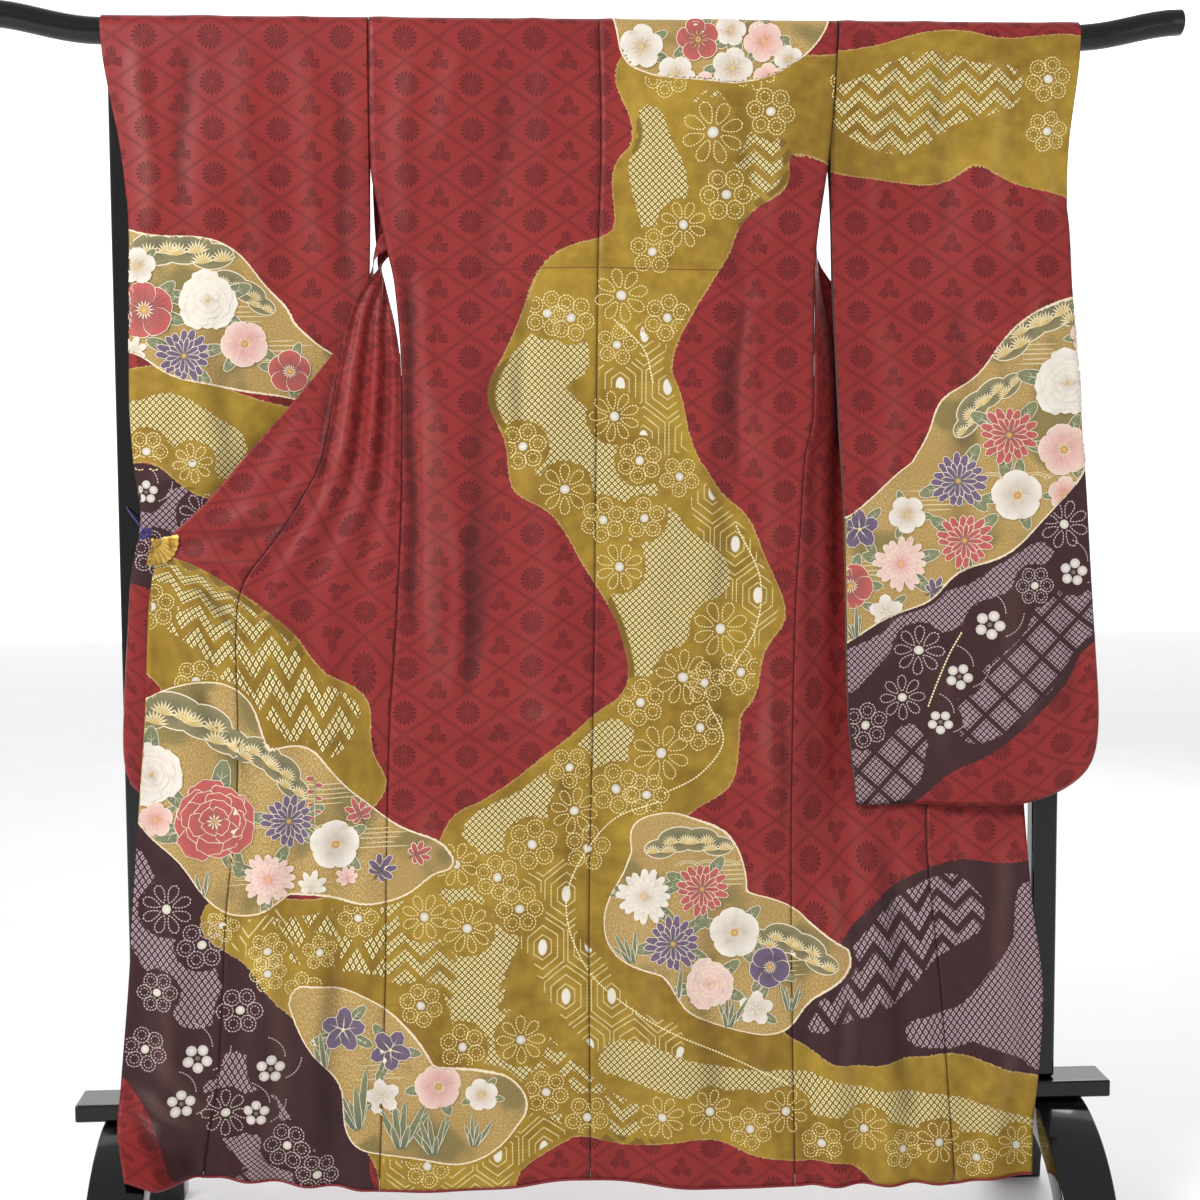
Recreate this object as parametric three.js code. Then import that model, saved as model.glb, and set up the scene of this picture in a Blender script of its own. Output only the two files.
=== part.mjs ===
import * as THREE from 'three';

// Furisode kimono hung on a lacquered kimono stand.
// Millimetres, +Z up, the kimono's back faces -Y, the floor is z = 0.

const WALL = 1.2;
const SEAM = 0.3;
const POLE_Z = 1660;
const POLE_R = 18;
const POLE_HALF = 800;
const POLE_RISE = 22;
const DRAPE_R = 20;
const POST_X = 625;
const POST_W = 36;
const POST_D = 30;
const BAR_TOP = 218;
const BAR_T = 24;
const BAR_HALF = 718;
const BAR_D = 66;
const FOOT_X = 643;
const FOOT_W = 74;
const FOOT_HALF = 212;
const FOOT_T = 44;
const COLLAR_WALL = 1.6;
const CORD_D = 2;

// Back panels: side edges and centre seam, from the pole to the hem.
const BACK_LEFT = [
  { z: 1700, x: -299.2 }, { z: 1480, x: -299.2 }, { z: 1425, x: -290 }, { z: 1376, x: -280 },
  { z: 1327, x: -270 }, { z: 1214, x: -262 }, { z: 1083, x: -263 }, { z: 976, x: -267 },
  { z: 837, x: -276 }, { z: 738, x: -284 }, { z: 542, x: -291 }, { z: 377, x: -294 },
  { z: 90, x: -306 },
];
const BACK_RIGHT = [
  { z: 1700, x: 328 }, { z: 1572, x: 322.5 }, { z: 1486, x: 314 }, { z: 1367, x: 298 },
  { z: 1250, x: 296 }, { z: 1140, x: 294 }, { z: 1095, x: 284 }, { z: 1000, x: 278 },
  { z: 880, x: 271 }, { z: 596, x: 266 }, { z: 298, x: 265 }, { z: 80, x: 269 },
];
const CENTRE = [
  { z: 1700, x: 5 }, { z: 1520, x: 8 }, { z: 1363, x: 3 }, { z: 975, x: -3 },
  { z: 749, x: -7 }, { z: 447, x: -15 }, { z: 90, x: -16 },
];
const BACK_HEM = [
  { x: -306, z: 93 }, { x: -186, z: 89 }, { x: -127, z: 93 }, { x: -51, z: 102 },
  { x: -5, z: 101 }, { x: 55, z: 92 }, { x: 164, z: 83 }, { x: 276, z: 84 },
];

// Left front: s = side edge, f = edge that meets the overlap panel, a = pleat depth.
const FRONT_LEFT = [
  { sx: -299.2, sy: 20, sz: 1660, fx: -57, fy: 20, fz: 1660, a: 0 },
  { sx: -299.2, sy: 20.5, sz: 1600, fx: -100, fy: 22, fz: 1603, a: 3 },
  { sx: -299.2, sy: 20, sz: 1530, fx: -157, fy: 22, fz: 1527, a: 5 },
  { sx: -299.2, sy: 19, sz: 1480, fx: -205, fy: 21, fz: 1462, a: 6 },
  { sx: -298, sy: 18, sz: 1430, fx: -245, fy: 16, fz: 1410, a: 5 },
  { sx: -296, sy: 16, sz: 1390, fx: -270, fy: 8, fz: 1376, a: 3 },
  { sx: -292, sy: 11, sz: 1358, fx: -287, fy: -8, fz: 1354, a: 2.2 },
  { sx: -284, sy: 3, sz: 1330, fx: -293, fy: -26, fz: 1343, a: 2.2 },
  { sx: -276, sy: -9, sz: 1300, fx: -307, fy: -33, fz: 1326, a: 3 },
  { sx: -268.5, sy: -16, sz: 1265, fx: -325, fy: -35, fz: 1295, a: 4 },
  { sx: -263.6, sy: -20, sz: 1225, fx: -338, fy: -36, fz: 1248, a: 5 },
  { sx: -263.6, sy: -20, sz: 1170, fx: -349, fy: -37, fz: 1190, a: 6 },
  { sx: -264.2, sy: -20, sz: 1110, fx: -360, fy: -38, fz: 1130, a: 6 },
  { sx: -265.2, sy: -20, sz: 1050, fx: -374, fy: -39, fz: 1080, a: 5 },
  { sx: -268, sy: -20, sz: 985, fx: -422, fy: -40, fz: 1000, a: 4 },
  { sx: -271.5, sy: -20, sz: 920, fx: -474, fy: -40, fz: 930, a: 3 },
  { sx: -275.6, sy: -20, sz: 850, fx: -486, fy: -40, fz: 860, a: 2.5 },
  { sx: -285.6, sy: -20, sz: 730, fx: -486, fy: -40, fz: 735, a: 2.5 },
  { sx: -290, sy: -20, sz: 610, fx: -491, fy: -38, fz: 612, a: 3 },
  { sx: -293, sy: -21, sz: 490, fx: -506, fy: -34, fz: 492, a: 4 },
  { sx: -296, sy: -22, sz: 370, fx: -513, fy: -31, fz: 372, a: 5 },
  { sx: -300, sy: -22, sz: 250, fx: -521, fy: -29, fz: 252, a: 6 },
  { sx: -304, sy: -22, sz: 160, fx: -536, fy: -28, fz: 175, a: 7 },
  { sx: -306.6, sy: -22, sz: 93, fx: -544, fy: -28, fz: 122, a: 8 },
];
// Overlap panels: f is the free front edge, one row for each of the last front rows.
const OVERLAP_LEFT = [
  { fx: -340, fy: -37, fz: 1249, a: 0 },
  { fx: -374, fy: -40, fz: 1206, a: 0 },
  { fx: -420, fy: -41, fz: 1153, a: 1 },
  { fx: -466, fy: -43, fz: 1102, a: 2 },
  { fx: -520, fy: -44, fz: 1040, a: 2 },
  { fx: -576, fy: -44, fz: 984, a: 1 },
  { fx: -598, fy: -45, fz: 915, a: 2 },
  { fx: -608, fy: -43, fz: 760, a: 3 },
  { fx: -620, fy: -40, fz: 630, a: 3 },
  { fx: -631, fy: -36, fz: 496, a: 3 },
  { fx: -639, fy: -33, fz: 380, a: 4 },
  { fx: -651, fy: -31, fz: 250, a: 4 },
  { fx: -652, fy: -56, fz: 198, a: 0 },
  { fx: -631, fy: -126, fz: 156, a: 0 },
];
const FRONT_RIGHT = [
  { sx: 327, sy: 20, sz: 1660, fx: 67, fy: 20, fz: 1660, a: 0 },
  { sx: 324, sy: 21, sz: 1600, fx: 114, fy: 23, fz: 1602, a: 3 },
  { sx: 319, sy: 21, sz: 1530, fx: 172, fy: 25, fz: 1530, a: 5 },
  { sx: 314, sy: 21, sz: 1484, fx: 220, fy: 28, fz: 1470, a: 5 },
  { sx: 311, sy: 19, sz: 1430, fx: 262, fy: 33, fz: 1418, a: 4 },
  { sx: 306, sy: 14, sz: 1395, fx: 296, fy: 38, fz: 1376, a: 3 },
  { sx: 301, sy: 6, sz: 1360, fx: 326, fy: 40, fz: 1339, a: 3 },
  { sx: 299, sy: -5, sz: 1320, fx: 352, fy: 39, fz: 1307, a: 3 },
  { sx: 298, sy: -13, sz: 1280, fx: 379, fy: 37, fz: 1273, a: 4 },
  { sx: 296.6, sy: -18, sz: 1240, fx: 400, fy: 34, fz: 1246, a: 4 },
  { sx: 295.6, sy: -20, sz: 1180, fx: 412, fy: 30, fz: 1190, a: 5 },
  { sx: 293, sy: -20, sz: 1125, fx: 420, fy: 26, fz: 1130, a: 5 },
  { sx: 282.4, sy: -20, sz: 1060, fx: 430, fy: 24, fz: 1064, a: 5 },
  { sx: 278, sy: -20, sz: 985, fx: 444, fy: 22, fz: 990, a: 4 },
  { sx: 273.6, sy: -20, sz: 910, fx: 456, fy: 20, fz: 915, a: 4 },
  { sx: 270, sy: -20, sz: 820, fx: 462, fy: 19, fz: 825, a: 2 },
  { sx: 268, sy: -20, sz: 720, fx: 464, fy: 18, fz: 725, a: 2 },
  { sx: 267, sy: -20, sz: 630, fx: 464, fy: 17, fz: 634, a: 2 },
  { sx: 266.6, sy: -20, sz: 550, fx: 460, fy: 0, fz: 552, a: 3 },
  { sx: 265.8, sy: -21, sz: 460, fx: 464, fy: -18, fz: 462, a: 4 },
  { sx: 265.6, sy: -22, sz: 360, fx: 472, fy: -24, fz: 360, a: 5 },
  { sx: 266, sy: -22, sz: 250, fx: 480, fy: -24, fz: 250, a: 6 },
  { sx: 268, sy: -22, sz: 160, fx: 487, fy: -24, fz: 165, a: 7 },
  { sx: 269.6, sy: -22, sz: 84, fx: 494, fy: -24, fz: 82, a: 8 },
];
const OVERLAP_RIGHT = [
  { fx: 402.5, fy: 34.5, fz: 1246, a: 0 },
  { fx: 444, fy: 33, fz: 1195, a: 0 },
  { fx: 492, fy: 31, fz: 1136, a: 1 },
  { fx: 540, fy: 22, fz: 1077, a: 2 },
  { fx: 595, fy: 11, fz: 1008, a: 1 },
  { fx: 600, fy: 13, fz: 925, a: 3 },
  { fx: 601, fy: 13, fz: 830, a: 3 },
  { fx: 601, fy: 12, fz: 728, a: 3 },
  { fx: 600, fy: 10, fz: 636, a: 3 },
  { fx: 601, fy: -8, fz: 552, a: 3 },
  { fx: 605, fy: -22, fz: 462, a: 3 },
  { fx: 616, fy: -25, fz: 360, a: 3 },
  { fx: 611, fy: -26, fz: 250, a: 4 },
  { fx: 603, fy: -27, fz: 165, a: 4 },
  { fx: 602, fy: -28, fz: 94, a: 4 },
];

// Sleeves: o = cuff edge, i = body edge, g = half the space between the layers,
// c = depth of the middle at the cuff side.
const SLEEVE_LEFT = [
  { z: 1660, o: -650, i: -300.8, g: 20, c: 0 }, { z: 1618, o: -646, i: -300.8, g: 19.5, c: -3 },
  { z: 1560, o: -636, i: -300.8, g: 17, c: -8 }, { z: 1515, o: -627, i: -300.8, g: 14, c: -14 },
  { z: 1450, o: -619, i: -301.4, g: 7, c: -25 }, { z: 1398, o: -617, i: -302, g: 6, c: -26 },
  { z: 1330, o: -618, i: -304, g: 6, c: -24 }, { z: 1174, o: -622, i: -306, g: 5.5, c: -25 },
  { z: 1083, o: -618, i: -306, g: 5, c: -25 }, { z: 1016, o: -611, i: -306, g: 4.5, c: -24.5 },
  { z: 942, o: -625, i: -305, g: 5, c: -25 }, { z: 860, o: -632, i: -304, g: 5.5, c: -26 },
  { z: 778, o: -638, i: -303, g: 6, c: -26 }, { z: 702, o: -641, i: -302, g: 6, c: -26 },
  { z: 655, o: -634, i: -302, g: 5, c: -25 }, { z: 606, o: -618, i: -302, g: 3, c: -24 },
];
const SLEEVE_RIGHT = [
  { z: 1660, o: 658, i: 328.4, g: 20, c: 0 }, { z: 1618, o: 655, i: 325.4, g: 19.5, c: -3 },
  { z: 1560, o: 647, i: 322.4, g: 17, c: -8 }, { z: 1515, o: 641, i: 317.8, g: 14, c: -14 },
  { z: 1450, o: 638, i: 320, g: 7, c: -25 }, { z: 1398, o: 644, i: 322, g: 6.5, c: -26 },
  { z: 1324, o: 649, i: 324, g: 7, c: -25 }, { z: 1255, o: 655, i: 328, g: 6.5, c: -26 },
  { z: 1123, o: 666, i: 335, g: 6, c: -27 }, { z: 1035, o: 673, i: 341, g: 6, c: -28 },
  { z: 935, o: 680, i: 344, g: 6, c: -28 }, { z: 830, o: 688, i: 346, g: 6.5, c: -28 },
  { z: 740, o: 694, i: 349, g: 6.5, c: -28 }, { z: 690, o: 691, i: 353, g: 6, c: -28 },
  { z: 655, o: 680, i: 357, g: 5, c: -27 }, { z: 609, o: 662, i: 362, g: 3, c: -26 },
];
const CUFF_OPEN = 1440;
// Rear cuff edge, which passes inside the post; x is measured from the middle.
const REAR_CUFF = [
  { z: 1660, x: 650 }, { z: 1645, x: 642 }, { z: 1625, x: 603 }, { z: 1585, x: 601 },
  { z: 1425, x: 601 },
];
const SLEEVE_Z = [
  1660, 1625, 1585, 1535, 1490, 1452, 1426, 1385, 1330, 1260, 1180, 1100, 1016, 940, 860, 780,
  720, 670, 635, 609,
];

// Collar: p = sewn edge, q = free edge.
const COLLAR = [
  { px: -552, py: -36, pz: 997, qx: -530, qy: -35, qz: 960 },
  { px: -480, py: -35, pz: 1076, qx: -446, qy: -32, qz: 1044 },
  { px: -410, py: -33, pz: 1152, qx: -374, qy: -27, qz: 1122 },
  { px: -345, py: -31, pz: 1234, qx: -314, qy: -19, qz: 1205 },
  { px: -328, py: -30, pz: 1282, qx: -301, qy: -12, qz: 1256 },
  { px: -311, py: -28, pz: 1316, qx: -300, qy: -9, qz: 1300 },
  { px: -299, py: -24, pz: 1346, qx: -299, qy: 2, qz: 1338 },
  { px: -293, py: -14, pz: 1364, qx: -297.5, qy: 3, qz: 1368 },
  { px: -268, py: -1, pz: 1382, qx: -286, qy: -9, qz: 1394 },
  { px: -240, py: 8, pz: 1412, qx: -248, qy: -10, qz: 1430 },
  { px: -214, py: 16, pz: 1446, qx: -204, qy: -6, qz: 1436 },
  { px: -176, py: 21, pz: 1498, qx: -146, qy: 18, qz: 1480 },
  { px: -98.6, py: 22.4, pz: 1602, qx: -58, qy: 26, qz: 1584 },
  { px: -54, py: 22, pz: 1656, qx: -32, qy: 29, qz: 1612 },
  { px: -20, py: 19.3, pz: 1671, qx: -10, qy: 30, qz: 1620 },
  { px: 30, py: 19.3, pz: 1671, qx: 22, qy: 30, qz: 1620 },
  { px: 64, py: 22, pz: 1656, qx: 44, qy: 29, qz: 1612 },
  { px: 110, py: 24, pz: 1602, qx: 72, qy: 27, qz: 1584 },
  { px: 208, py: 31, pz: 1480, qx: 172, qy: 31, qz: 1458 },
  { px: 286, py: 41, pz: 1383, qx: 254, qy: 41, qz: 1358 },
  { px: 334, py: 46, pz: 1333, qx: 312, qy: 50, qz: 1300 },
  { px: 404, py: 42, pz: 1250, qx: 386, qy: 48, qz: 1210 },
  { px: 480, py: 38, pz: 1156, qx: 462, qy: 42, qz: 1114 },
  { px: 572, py: 24, pz: 1036, qx: 552, qy: 30, qz: 1000 },
];

function at(table, key, value, column) {
  const n = table.length;
  const up = table[n - 1][key] > table[0][key];
  let k = 0;
  while (k < n - 2 && (up ? value > table[k + 1][key] : value < table[k + 1][key])) k += 1;
  const a = table[k];
  const b = table[k + 1];
  const t = THREE.MathUtils.clamp((value - a[key]) / (b[key] - a[key]), 0, 1);
  const before = table[Math.max(k - 1, 0)];
  const after = table[Math.min(k + 2, n - 1)];
  const span = b[key] - a[key];
  const slope = (p, q) => (q[key] === p[key] ? 0 : (q[column] - p[column]) / (q[key] - p[key]));
  const m0 = slope(before, b) * span;
  const m1 = slope(a, after) * span;
  const t2 = t * t;
  const t3 = t2 * t;
  return (2 * t3 - 3 * t2 + 1) * a[column] + (t3 - 2 * t2 + t) * m0
    + (3 * t2 - 2 * t3) * b[column] + (t3 - t2) * m1;
}

function station(table, s) {
  const k = THREE.MathUtils.clamp(Math.floor(s), 0, table.length - 2);
  const t = s - k;
  const out = {};
  for (const name of Object.keys(table[0])) {
    const p0 = table[Math.max(k - 1, 0)][name];
    const p1 = table[k][name];
    const p2 = table[k + 1][name];
    const p3 = table[Math.min(k + 2, table.length - 1)][name];
    const m0 = k === 0 ? p2 - p1 : (p2 - p0) / 2;
    const m1 = k === table.length - 2 ? p2 - p1 : (p3 - p1) / 2;
    const t2 = t * t;
    const t3 = t2 * t;
    out[name] = (2 * t3 - 3 * t2 + 1) * p1 + (t3 - 2 * t2 + t) * m0
      + (3 * t2 - 2 * t3) * p2 + (t3 - t2) * m1;
  }
  return out;
}

const smooth = (lo, hi, v) => THREE.MathUtils.smoothstep(v, lo, hi);

// Gives a surface of four-sided faces a thickness, with a rim round its open edges.
function thicken(points, faces, thickness) {
  const normals = points.map(() => new THREE.Vector3());
  const ab = new THREE.Vector3();
  const ac = new THREE.Vector3();
  for (const f of faces) {
    ab.subVectors(points[f[2]], points[f[0]]);
    ac.subVectors(points[f[3]], points[f[1]]);
    const n = new THREE.Vector3().crossVectors(ab, ac).normalize();
    for (const i of f) normals[i].add(n);
  }
  for (const n of normals) n.normalize();
  const place = [];
  for (const side of [1, -1]) {
    points.forEach((p, i) => place.push(p.clone().addScaledVector(normals[i], side * thickness / 2)));
  }
  const n = points.length;
  const tris = [];
  const edges = new Map();
  for (const [a, b, c, d] of faces) {
    tris.push([a, b, c], [a, c, d], [n + a, n + c, n + b], [n + a, n + d, n + c]);
    for (const [p, q] of [[a, b], [b, c], [c, d], [d, a]]) {
      if (edges.has(`${q},${p}`)) edges.delete(`${q},${p}`);
      else edges.set(`${p},${q}`, [p, q]);
    }
  }
  for (const [p, q] of edges.values()) tris.push([q, p, n + p], [q, n + p, n + q]);
  const flat = [];
  for (const t of tris) for (const i of t) flat.push(place[i].x, place[i].y, place[i].z);
  const geometry = new THREE.BufferGeometry();
  geometry.setAttribute('position', new THREE.Float32BufferAttribute(flat, 3));
  geometry.computeVertexNormals();
  return geometry;
}

function grid(rows, columns, point) {
  const points = [];
  const faces = [];
  for (let r = 0; r <= rows; r += 1) {
    for (let c = 0; c <= columns; c += 1) points.push(point(r / rows, c / columns));
  }
  const w = columns + 1;
  for (let r = 0; r < rows; r += 1) {
    for (let c = 0; c < columns; c += 1) {
      const a = r * w + c;
      faces.push([a, a + 1, a + w + 1, a + w]);
    }
  }
  return { points, faces };
}

// Depth of the back panels: flat at the pole, soft upright folds lower down.
function backDepth(x, z) {
  const down = THREE.MathUtils.clamp((1560 - z) / 1460, 0, 1);
  const edge = Math.sin(Math.PI * THREE.MathUtils.clamp((x + 306) / 576, 0, 1));
  const folds = 5 * Math.sin(x / 33 + 0.6) + 3.5 * Math.sin(x / 19 - 1.2 + z / 400);
  return -20 - 2 * down + down * edge * folds;
}

// The hem is held forward by the bar of the stand.
const forward = (z) => -24 * (1 - smooth(230, 620, z));

const BACK_ROWS = 20;
const TOP_ROWS = 6;
const FRONT_ROWS = 23;
const BODY_COLUMNS = 12;
const SIDE_SEAM_TOP = 1235;

// One length of cloth: back hem, up over the pole, down to the front hem.
function bodyPoint(side, row, t) {
  const left = side < 0;
  const edge = left ? BACK_LEFT : BACK_RIGHT;
  const middle = (z) => at(CENTRE, 'z', z, 'x') + side * SEAM / 2;
  if (row <= BACK_ROWS) {
    const s = row / BACK_ROWS;
    const hemX = middle(95) + (at(edge, 'z', 95, 'x') - middle(95)) * t;
    const hem = at(BACK_HEM, 'x', hemX, 'z');
    const z = hem + (POLE_Z - hem) * s;
    const x = middle(z) + (at(edge, 'z', z, 'x') - middle(z)) * t;
    return new THREE.Vector3(x, backDepth(x, z) + forward(z), z);
  }
  if (row <= BACK_ROWS + TOP_ROWS) {
    const k = (row - BACK_ROWS) / TOP_ROWS;
    const angle = Math.PI * k;
    const neck = smooth(0.72, 1, k);
    const front = left ? FRONT_LEFT[0] : FRONT_RIGHT[0];
    const inner = middle(POLE_Z) + (front.fx - middle(POLE_Z)) * neck;
    const outer = at(edge, 'z', POLE_Z, 'x') * (1 - k) + front.sx * k;
    const x = inner + (outer - inner) * t;
    return new THREE.Vector3(x, -DRAPE_R * Math.cos(angle), POLE_Z + DRAPE_R * Math.sin(angle));
  }
  const table = left ? FRONT_LEFT : FRONT_RIGHT;
  const s = (row - BACK_ROWS - TOP_ROWS) / FRONT_ROWS * (table.length - 1);
  const q = station(table, s);
  if (q.sz < SIDE_SEAM_TOP) {
    q.sx = at(edge, 'z', q.sz, 'x') + side * (SEAM + 0.2);
    q.sy = backDepth(q.sx, q.sz);
  }
  const p = new THREE.Vector3(q.fx, q.fy, q.fz).lerp(new THREE.Vector3(q.sx, q.sy, q.sz), t);
  const along = new THREE.Vector2(q.sx - q.fx, q.sy - q.fy).normalize();
  const wave = q.a * Math.sin(2 * Math.PI * 3 * t) * Math.min(1, 6 * t, 6 * (1 - t));
  if (!left) p.y = q.sy + (q.fy - q.sy) * smooth(0, 0.36, 1 - t);
  p.x += -along.y * wave;
  p.y += along.x * wave + forward(p.z);
  return p;
}

function bodyPanel(side) {
  const rows = BACK_ROWS + TOP_ROWS + FRONT_ROWS;
  const g = grid(rows, BODY_COLUMNS, (r, t) => bodyPoint(side, Math.round(r * rows), t));
  if (side > 0) g.faces = g.faces.map((f) => [...f].reverse());
  g.faces = g.faces.map((f) => [...f].reverse());
  return thicken(g.points, g.faces, WALL);
}

// Sewn to the front panel's edge, row for row.
function overlapPanel(side) {
  const table = side < 0 ? OVERLAP_LEFT : OVERLAP_RIGHT;
  const rows = table.length - 1;
  const first = BACK_ROWS + TOP_ROWS + FRONT_ROWS - rows;
  const g = grid(rows, 5, (r, t) => {
    const row = Math.round(r * rows);
    const q = table[row];
    const sewn = bodyPoint(side, first + row, 0);
    const free = new THREE.Vector3(q.fx, q.fy + forward(q.fz), q.fz);
    sewn.addScaledVector(free.clone().sub(sewn).normalize(), SEAM + 0.2);
    const p = sewn.clone().lerp(free, t);
    if (row > rows - 2 && side < 0) p.y = sewn.y + (free.y - sewn.y) * smooth(0, 0.6, t);
    p.y += q.a * Math.sin(2 * Math.PI * 1.5 * t) * Math.min(1, 3 * t);
    return p;
  });
  return thicken(g.points, g.faces, WALL);
}

const SLEEVE_COLUMNS = 10;
const SLEEVE_ROWS = SLEEVE_Z.length - 1;

// layer -1 is the layer at the kimono's back, +1 the one behind it.
function sleevePoint(table, u, row, layer) {
  const side = Math.sign(table[0].o);
  const level = SLEEVE_Z[row];
  const low = ((POLE_Z - level) / (POLE_Z - 609)) ** 6;
  const z = level + 30 * smooth(0.72, 1, u) ** 2 * low;
  const inner = at(table, 'z', z, 'i');
  let outer = at(table, 'z', z, 'o');
  if (layer > 0 && level > CUFF_OPEN) {
    outer = side * Math.min(Math.abs(outer), at(REAR_CUFF, 'z', z, 'x'));
  }
  const x = inner + (outer - inner) * u;
  const middle = at(table, 'z', z, 'c') * smooth(0.3, 0.72, u);
  const gap = at(table, 'z', z, 'g');
  const hang = THREE.MathUtils.clamp((POLE_Z - z) / 900, 0, 1);
  const ripple = 4 * Math.sin(u * 9 + 0.5) + 2 * Math.sin(u * 17 + z / 200);
  return new THREE.Vector3(x, middle + layer * gap + hang * ripple * Math.sin(Math.PI * u), z);
}

function sleeve(table) {
  const points = [];
  const names = new Map();
  const side = Math.sign(table[0].o);
  const put = (name, p) => {
    if (!names.has(name)) {
      names.set(name, points.length);
      points.push(p);
    }
    return names.get(name);
  };
  const joinRow = SLEEVE_Z.findIndex((z) => z < CUFF_OPEN);
  const node = (layer, r, c) => {
    const u = c / SLEEVE_COLUMNS;
    if (r === SLEEVE_ROWS) return put(`bottom ${c}`, sleevePoint(table, u, r, 0));
    if (c === SLEEVE_COLUMNS && r >= joinRow) {
      return put(`side ${r}`, sleevePoint(table, 1, r, 0));
    }
    const p = sleevePoint(table, u, r, layer);
    if (c === SLEEVE_COLUMNS - 1 && r >= joinRow) p.x = at(table, 'z', p.z, 'o') - side * 9;
    return put(`${layer} ${r} ${c}`, p);
  };
  const faces = [];
  const face = (a, b, c, d) => faces.push(side < 0 ? [a, d, c, b] : [a, b, c, d]);
  for (let r = 0; r < SLEEVE_ROWS; r += 1) {
    for (let c = 0; c < SLEEVE_COLUMNS; c += 1) {
      face(node(-1, r, c), node(-1, r + 1, c), node(-1, r + 1, c + 1), node(-1, r, c + 1));
      face(node(1, r, c), node(1, r, c + 1), node(1, r + 1, c + 1), node(1, r + 1, c));
    }
  }
  const over = (k, c) => {
    if (k === 0) return node(-1, 0, c);
    if (k === TOP_ROWS) return node(1, 0, c);
    const p = sleevePoint(table, c / SLEEVE_COLUMNS, 0, -1);
    const angle = Math.PI * k / TOP_ROWS;
    p.y = -DRAPE_R * Math.cos(angle);
    p.z = POLE_Z + DRAPE_R * Math.sin(angle);
    return put(`over ${k} ${c}`, p);
  };
  for (let k = 0; k < TOP_ROWS; k += 1) {
    for (let c = 0; c < SLEEVE_COLUMNS; c += 1) {
      face(over(k, c), over(k, c + 1), over(k + 1, c + 1), over(k + 1, c));
    }
  }
  for (const f of faces) f.reverse();
  return thicken(points, faces, WALL);
}

function collar() {
  const g = grid(66, 2, (r, t) => {
    const q = station(COLLAR, r * (COLLAR.length - 1));
    return new THREE.Vector3(q.px, q.py, q.pz).lerp(new THREE.Vector3(q.qx, q.qy, q.qz), t);
  });
  return thicken(g.points, g.faces, COLLAR_WALL);
}

// Tube along points, with a closed round section.
function rod(line, radius, sides) {
  const shape = new THREE.Shape();
  for (let k = 0; k < sides; k += 1) {
    const a = 2 * Math.PI * k / sides;
    if (k === 0) shape.moveTo(radius * Math.cos(a), radius * Math.sin(a));
    else shape.lineTo(radius * Math.cos(a), radius * Math.sin(a));
  }
  const path = new THREE.CatmullRomCurve3(line);
  const steps = Math.min(80, Math.max(4, line.length * 2));
  return new THREE.ExtrudeGeometry(shape, { steps, extrudePath: path, bevelEnabled: false });
}

function pole() {
  const stops = [-1, -0.93, -0.87, -0.82, 0, 0.82, 0.87, 0.93, 1];
  const line = stops.map((s) => {
    const lift = smooth(0.8, 1, Math.abs(s)) ** 1.3;
    return new THREE.Vector3(POLE_HALF * s, 0, POLE_Z + POLE_RISE * lift);
  });
  const sides = 16;
  const rings = [];
  const add = (x, z, r) => rings.push({ x, z, r });
  add(-POLE_HALF - 4, line[0].z, POLE_R - 5);
  line.forEach((p) => add(p.x, p.z, POLE_R));
  add(POLE_HALF + 4, line[8].z, POLE_R - 5);
  const points = [];
  for (const ring of rings) {
    for (let k = 0; k < sides; k += 1) {
      const a = 2 * Math.PI * k / sides;
      points.push([ring.x, ring.r * Math.cos(a), ring.z + ring.r * Math.sin(a)]);
    }
  }
  const flat = [];
  const tri = (a, b, c) => flat.push(...points[a], ...points[b], ...points[c]);
  for (let r = 0; r < rings.length - 1; r += 1) {
    for (let k = 0; k < sides; k += 1) {
      const a = r * sides + k;
      const b = r * sides + (k + 1) % sides;
      tri(a, b, a + sides);
      tri(b, b + sides, a + sides);
    }
  }
  const last = (rings.length - 1) * sides;
  for (let k = 1; k < sides - 1; k += 1) {
    tri(0, k + 1, k);
    tri(last, last + k, last + k + 1);
  }
  const geometry = new THREE.BufferGeometry();
  geometry.setAttribute('position', new THREE.Float32BufferAttribute(flat, 3));
  geometry.computeVertexNormals();
  return geometry;
}

// Upright block with small chamfers along its length.
function chamferBox(width, depth, height, chamfer) {
  const w = width / 2;
  const d = depth / 2;
  const shape = new THREE.Shape();
  shape.moveTo(-w + chamfer, -d);
  shape.lineTo(w - chamfer, -d);
  shape.lineTo(w, -d + chamfer);
  shape.lineTo(w, d - chamfer);
  shape.lineTo(w - chamfer, d);
  shape.lineTo(-w + chamfer, d);
  shape.lineTo(-w, d - chamfer);
  shape.lineTo(-w, -d + chamfer);
  shape.closePath();
  return new THREE.ExtrudeGeometry(shape, { depth: height, bevelEnabled: false });
}

// Curved foot: an arched plank whose two ends stand on the floor.
function foot() {
  const top = BAR_TOP - BAR_T - SEAM;
  const outer = [];
  const inner = [];
  const steps = 14;
  for (let k = 0; k <= steps; k += 1) {
    const s = -1 + 2 * k / steps;
    const bend = Math.sqrt(Math.max(0, 1 - s * s));
    outer.push([FOOT_HALF * s, top * bend]);
    inner.push([(FOOT_HALF - FOOT_T) * s, (top - FOOT_T) * bend]);
  }
  const shape = new THREE.Shape();
  outer.forEach(([y, z], k) => (k === 0 ? shape.moveTo(y, z) : shape.lineTo(y, z)));
  inner.reverse().forEach(([y, z]) => shape.lineTo(y, z));
  shape.closePath();
  const geometry = new THREE.ExtrudeGeometry(shape, {
    depth: FOOT_W - 6,
    bevelEnabled: true,
    bevelThickness: 3,
    bevelSize: 3,
    bevelOffset: -3,
    bevelSegments: 1,
  });
  geometry.rotateX(Math.PI / 2);
  geometry.rotateZ(Math.PI / 2);
  geometry.translate(-(FOOT_W - 6) / 2, 0, 0);
  return geometry;
}

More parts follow.
